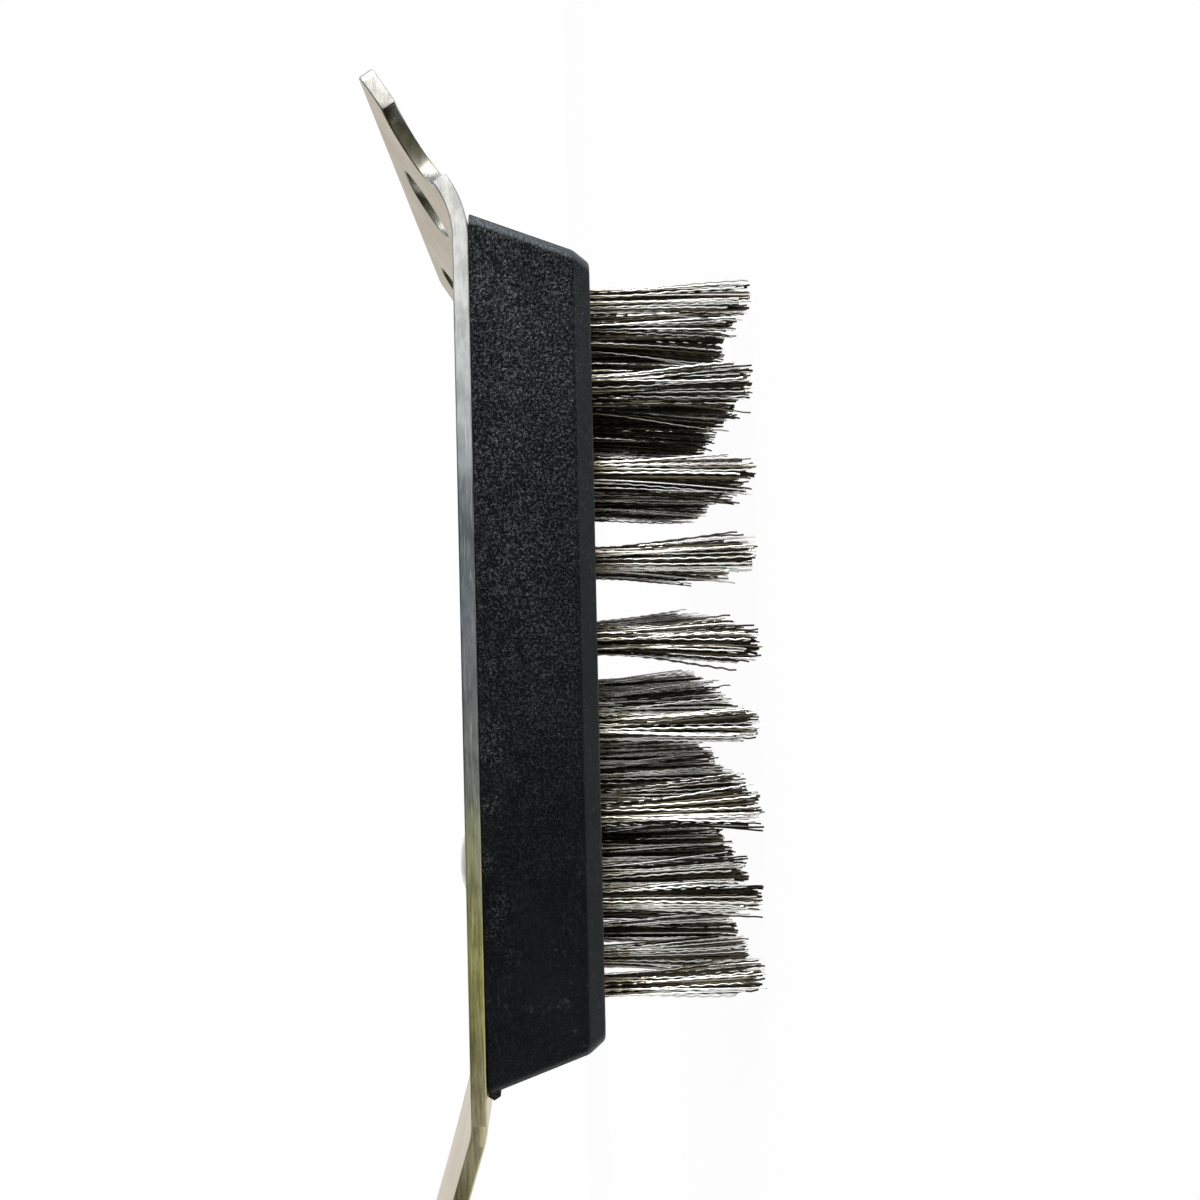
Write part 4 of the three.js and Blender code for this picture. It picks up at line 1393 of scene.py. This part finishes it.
def between_stations(share):
    """The height and width shares at a share of the grip's length, on a smooth curve through the stations."""
    stations = GRIP_STATION_SHARES
    last = len(stations) - 1
    i = min(max(k for k in range(len(stations)) if stations[k][0] <= share), last - 1)
    (a, *low), (b, *high) = stations[i], stations[i + 1]
    before = stations[max(i - 1, 0)]
    after = stations[min(i + 2, last)]
    u = (share - a) / (b - a)
    result = []
    for k in range(2):
        slope_in = (high[k] - before[k + 1]) / (b - before[0]) * (b - a)
        slope_out = (after[k + 1] - low[k]) / (after[0] - a) * (b - a)
        cube = (2 * u**3 - 3 * u**2 + 1) * low[k] + (u**3 - 2 * u**2 + u) * slope_in
        cube += (3 * u**2 - 2 * u**3) * high[k] + (u**3 - u**2) * slope_out
        result.append(min(cube, 1.0))
    return result


def scale_mesh(grip, tang_width, start):
    """A grip scale lying on height zero in the tang's own space, its crown upwards."""
    stations, around, squareness = 64, 36, 0.55
    rings = []
    for i in range(stations + 1):
        share = (1 - math.cos(math.pi * i / stations)) / 2
        height_share, width_share = between_stations(share)
        ring = []
        for k in range(around + 1):
            turn = math.pi * k / around
            across = math.copysign(abs(math.cos(turn)) ** squareness, math.cos(turn))
            up = abs(math.sin(turn)) ** squareness if 0 < k < around else 0.0
            x = tang_width / 2 * width_share * across
            ring.append((x, -start - grip.length * share, grip.thickness * height_share * up))
        rings.append(ring)
    return mesh_from(lambda shape: loft_rings(shape, rings))


def grip_material(grip):
    """Black satin moulding with a fine spark texture and lighter, rougher handling marks."""
    material, tree, shader, position = new_material("grip moulding", Specular_IOR_Level=0.5)
    grain = use_group(tree, "Pebble Grain", {"Position": position, "Pebble Size": 0.3 * MM})
    marks = use_group(tree, "Handling Marks", {"Position": position, "Size": 14 * MM})["Mask"]
    base = tuple(grip.colour)
    worn = tuple(channel * 2.2 + 0.004 for channel in base)
    tree.link(tree.mix(tree.times(marks, 0.4), base, worn), shader["Base Color"])
    tree.link(tree.ramp(marks, 0.0, 1.0, 0.34, 0.5), shader["Roughness"])
    bumped(tree, shader, grain["Height"], 0.03 * MM, 0.8)
    return material


def rivet_seats(grip, fasteners, places):
    """Round cutters for the rivet heads' seats in a scale."""
    radius = fasteners.rivet_head_diameter / 2 + 0.12 * MM
    depth = 2 * grip.seat_depth
    cutters = []
    for distance in places:
        centre = Matrix.Translation((0.0, -distance, grip.thickness))
        mesh = mesh_from(
            lambda shape: bmesh.ops.create_cone(
                shape, cap_ends=True, segments=40, radius1=radius, radius2=radius, depth=depth, matrix=centre
            )
        )
        cutters.append(new_piece("seat", mesh))
    return cutters


class WIREBRUSH_OT_grip(bpy.types.Operator):
    """Make the two grip scales"""

    bl_idname = "wirebrush.grip"
    bl_label = "Grip Scales"

    def execute(self, context):
        """Makes both scales on the tang and replaces their solids."""
        sheet, grip, fasteners = settings("sheet"), settings("grip"), settings("fasteners")
        start, _, _, rivets = grip_places()
        to_frame = SheetPath(sheet).tang_matrix()
        material = grip_material(grip)
        turned_over = Matrix.Rotation(math.pi, 4, "Y")
        sides = {
            "grip_scale_back": Matrix.Translation((0.0, 0.0, sheet.thickness)),
            "grip_scale_front": turned_over,
        }
        for node, side in sides.items():
            piece = new_piece(node.replace("grip_scale", "scale"), scale_mesh(grip, sheet.tang_width, start), material)
            cut_away(piece, rivet_seats(grip, fasteners, rivets))
            piece.data.transform(to_frame @ side)
            soften(piece, 40.0)
            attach(piece, BODY)
            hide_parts(node)
        return {"FINISHED"}


# The stage


def camera_matrix(stage):
    """The camera beside the brush, looking across it, with the scraper up in the picture."""
    place = Vector((HALF_WIDTH + stage.distance, HEAD_Y + stage.camera_forward, stage.camera_height))
    facing = Matrix((-Vector((0, 0, 1)), Vector((0, 1, 0)), Vector((1, 0, 0)))).transposed().to_4x4()
    turn = Matrix.Rotation(-stage.yaw, 4, "Y") @ Matrix.Rotation(-stage.roll, 4, "Z")
    return Matrix.Translation(place) @ facing @ turn


def seen_white(tree, surface):
    """A surface that is mostly white to the camera and to reflections, and keeps some of its shade."""
    path = tree.add("ShaderNodeLightPath").outputs
    seen = tree.math("MAXIMUM", path["Is Camera Ray"], path["Is Glossy Ray"])
    seen = tree.math("MAXIMUM", seen, path["Is Transmission Ray"])
    glow = tree.add("ShaderNodeEmission", {"Color": (1.0, 1.0, 1.0, 1.0), "Strength": 1.0}).outputs[0]
    factor = tree.times(seen, 0.97)
    return tree.add("ShaderNodeMixShader", {0: factor, 1: surface, 2: glow}).outputs[0]


def floor_material(stage):
    """Pale matt floor."""
    material, tree, shader, _ = new_material("pale floor", roughness=0.9)
    shader["Base Color"].default_value = (*stage.floor_colour, 1.0)
    nodes = material.node_tree.nodes
    output = next(node for node in nodes if node.type == "OUTPUT_MATERIAL")
    principled = next(node for node in nodes if node.type == "BSDF_PRINCIPLED")
    surface = seen_white(tree, principled.outputs[0])
    tree.link(surface, output.inputs["Surface"])
    return material


def add_lamp(name, energy, size, place, target):
    """A soft square lamp aimed at a point."""
    lamp = bpy.data.lights.new(name, "AREA")
    lamp.shape = "SQUARE"
    lamp.size = size
    lamp.energy = energy
    holder = bpy.data.objects.new(name, lamp)
    holder.location = place
    holder.rotation_euler = (Vector(target) - Vector(place)).to_track_quat("-Z", "Y").to_euler()
    bpy.context.scene.collection.objects.link(holder)


def make_world(strength):
    """A pale world that the camera sees as white, dimmer on its own side and brighter towards the scraper."""
    world = bpy.data.worlds.new("studio")
    bpy.context.scene.world = world
    world.use_nodes = True
    tree = Tree(world.node_tree)
    background = next(node for node in world.node_tree.nodes if node.type == "BACKGROUND")
    path = tree.add("ShaderNodeLightPath").outputs
    seen = tree.math("MAXIMUM", path["Is Camera Ray"], path["Is Transmission Ray"])
    way = tree.add("ShaderNodeSeparateXYZ", {0: tree.add("ShaderNodeTexCoord").outputs["Object"]}).outputs
    side = tree.ramp(way[0], -0.2, 0.9, 1.3, 0.25)
    forward = tree.ramp(way[1], -0.9, 0.9, 0.6, 1.35)
    level = tree.times(tree.times(side, forward), strength)
    level = tree.math("MAXIMUM", seen, level)
    tree.link(level, background.inputs["Strength"])
    background.inputs["Color"].default_value = (1.0, 1.0, 1.0, 1.0)


class WIREBRUSH_OT_stage(bpy.types.Operator):
    """Make the camera, the lamps and the floor"""

    bl_idname = "wirebrush.stage"
    bl_label = "Stage"

    def execute(self, context):
        """Sets the camera as the picture was taken, with soft lamps and a pale floor."""
        stage = settings("stage")
        scene = context.scene
        scene.view_settings.view_transform = "Standard"
        camera = bpy.data.cameras.new("camera")
        camera.lens = stage.lens
        camera.sensor_width = 36.0
        camera.clip_start = 0.005
        holder = bpy.data.objects.new("camera", camera)
        holder.matrix_world = camera_matrix(stage)
        scene.collection.objects.link(holder)
        scene.camera = holder

        floor = mesh_from(lambda shape: bmesh.ops.create_grid(shape, x_segments=1, y_segments=1, size=3.0))
        piece = new_piece("floor", floor, floor_material(stage))

        make_world(WORLD_STRENGTH)
        head = (0.0, HEAD_Y, SHEET_FRONT_Z)
        for name, power, size, (x, y, z) in LAMPS:
            add_lamp(name, power, size, (x, HEAD_Y + y, z), head)
        return {"FINISHED"}


# The panel and the script's run


OPERATORS = (
    WIREBRUSH_OT_stage,
    WIREBRUSH_OT_sheet,
    WIREBRUSH_OT_block,
    WIREBRUSH_OT_tufts,
    WIREBRUSH_OT_screws,
    WIREBRUSH_OT_grip,
    WIREBRUSH_OT_rivets,
)


class WIREBRUSH_PT_panel(bpy.types.Panel):
    """Lists the makers of the brush's pieces"""

    bl_idname = "WIREBRUSH_PT_panel"
    bl_label = "Wire Brush"
    bl_space_type = "VIEW_3D"
    bl_region_type = "UI"
    bl_category = "Wire Brush"

    def draw(self, context):
        """Draws one button for each operator."""
        for operator in OPERATORS:
            self.layout.operator(operator.bl_idname)


GROUPS = {
    "wire_brush_sheet": BrushSheetSettings,
    "wire_brush_block": BrushBlockSettings,
    "wire_brush_tufts": BrushTuftSettings,
    "wire_brush_fasteners": BrushFastenerSettings,
    "wire_brush_grip": BrushGripSettings,
    "wire_brush_stage": BrushStageSettings,
}


def register():
    """Registers the settings, the operators and the panel."""
    for name, group in GROUPS.items():
        bpy.utils.register_class(group)
        setattr(bpy.types.Scene, name, PointerProperty(type=group))
    for operator in OPERATORS:
        bpy.utils.register_class(operator)
    bpy.utils.register_class(WIREBRUSH_PT_panel)


def unregister():
    """Takes back what register did."""
    bpy.utils.unregister_class(WIREBRUSH_PT_panel)
    for operator in reversed(OPERATORS):
        bpy.utils.unregister_class(operator)
    for name, group in GROUPS.items():
        delattr(bpy.types.Scene, name)
        bpy.utils.unregister_class(group)


def main():
    """Makes every piece."""
    register()
    for operator in OPERATORS:
        getattr(bpy.ops.wirebrush, operator.bl_idname.split(".")[1])()


if __name__ == "__main__":
    main()
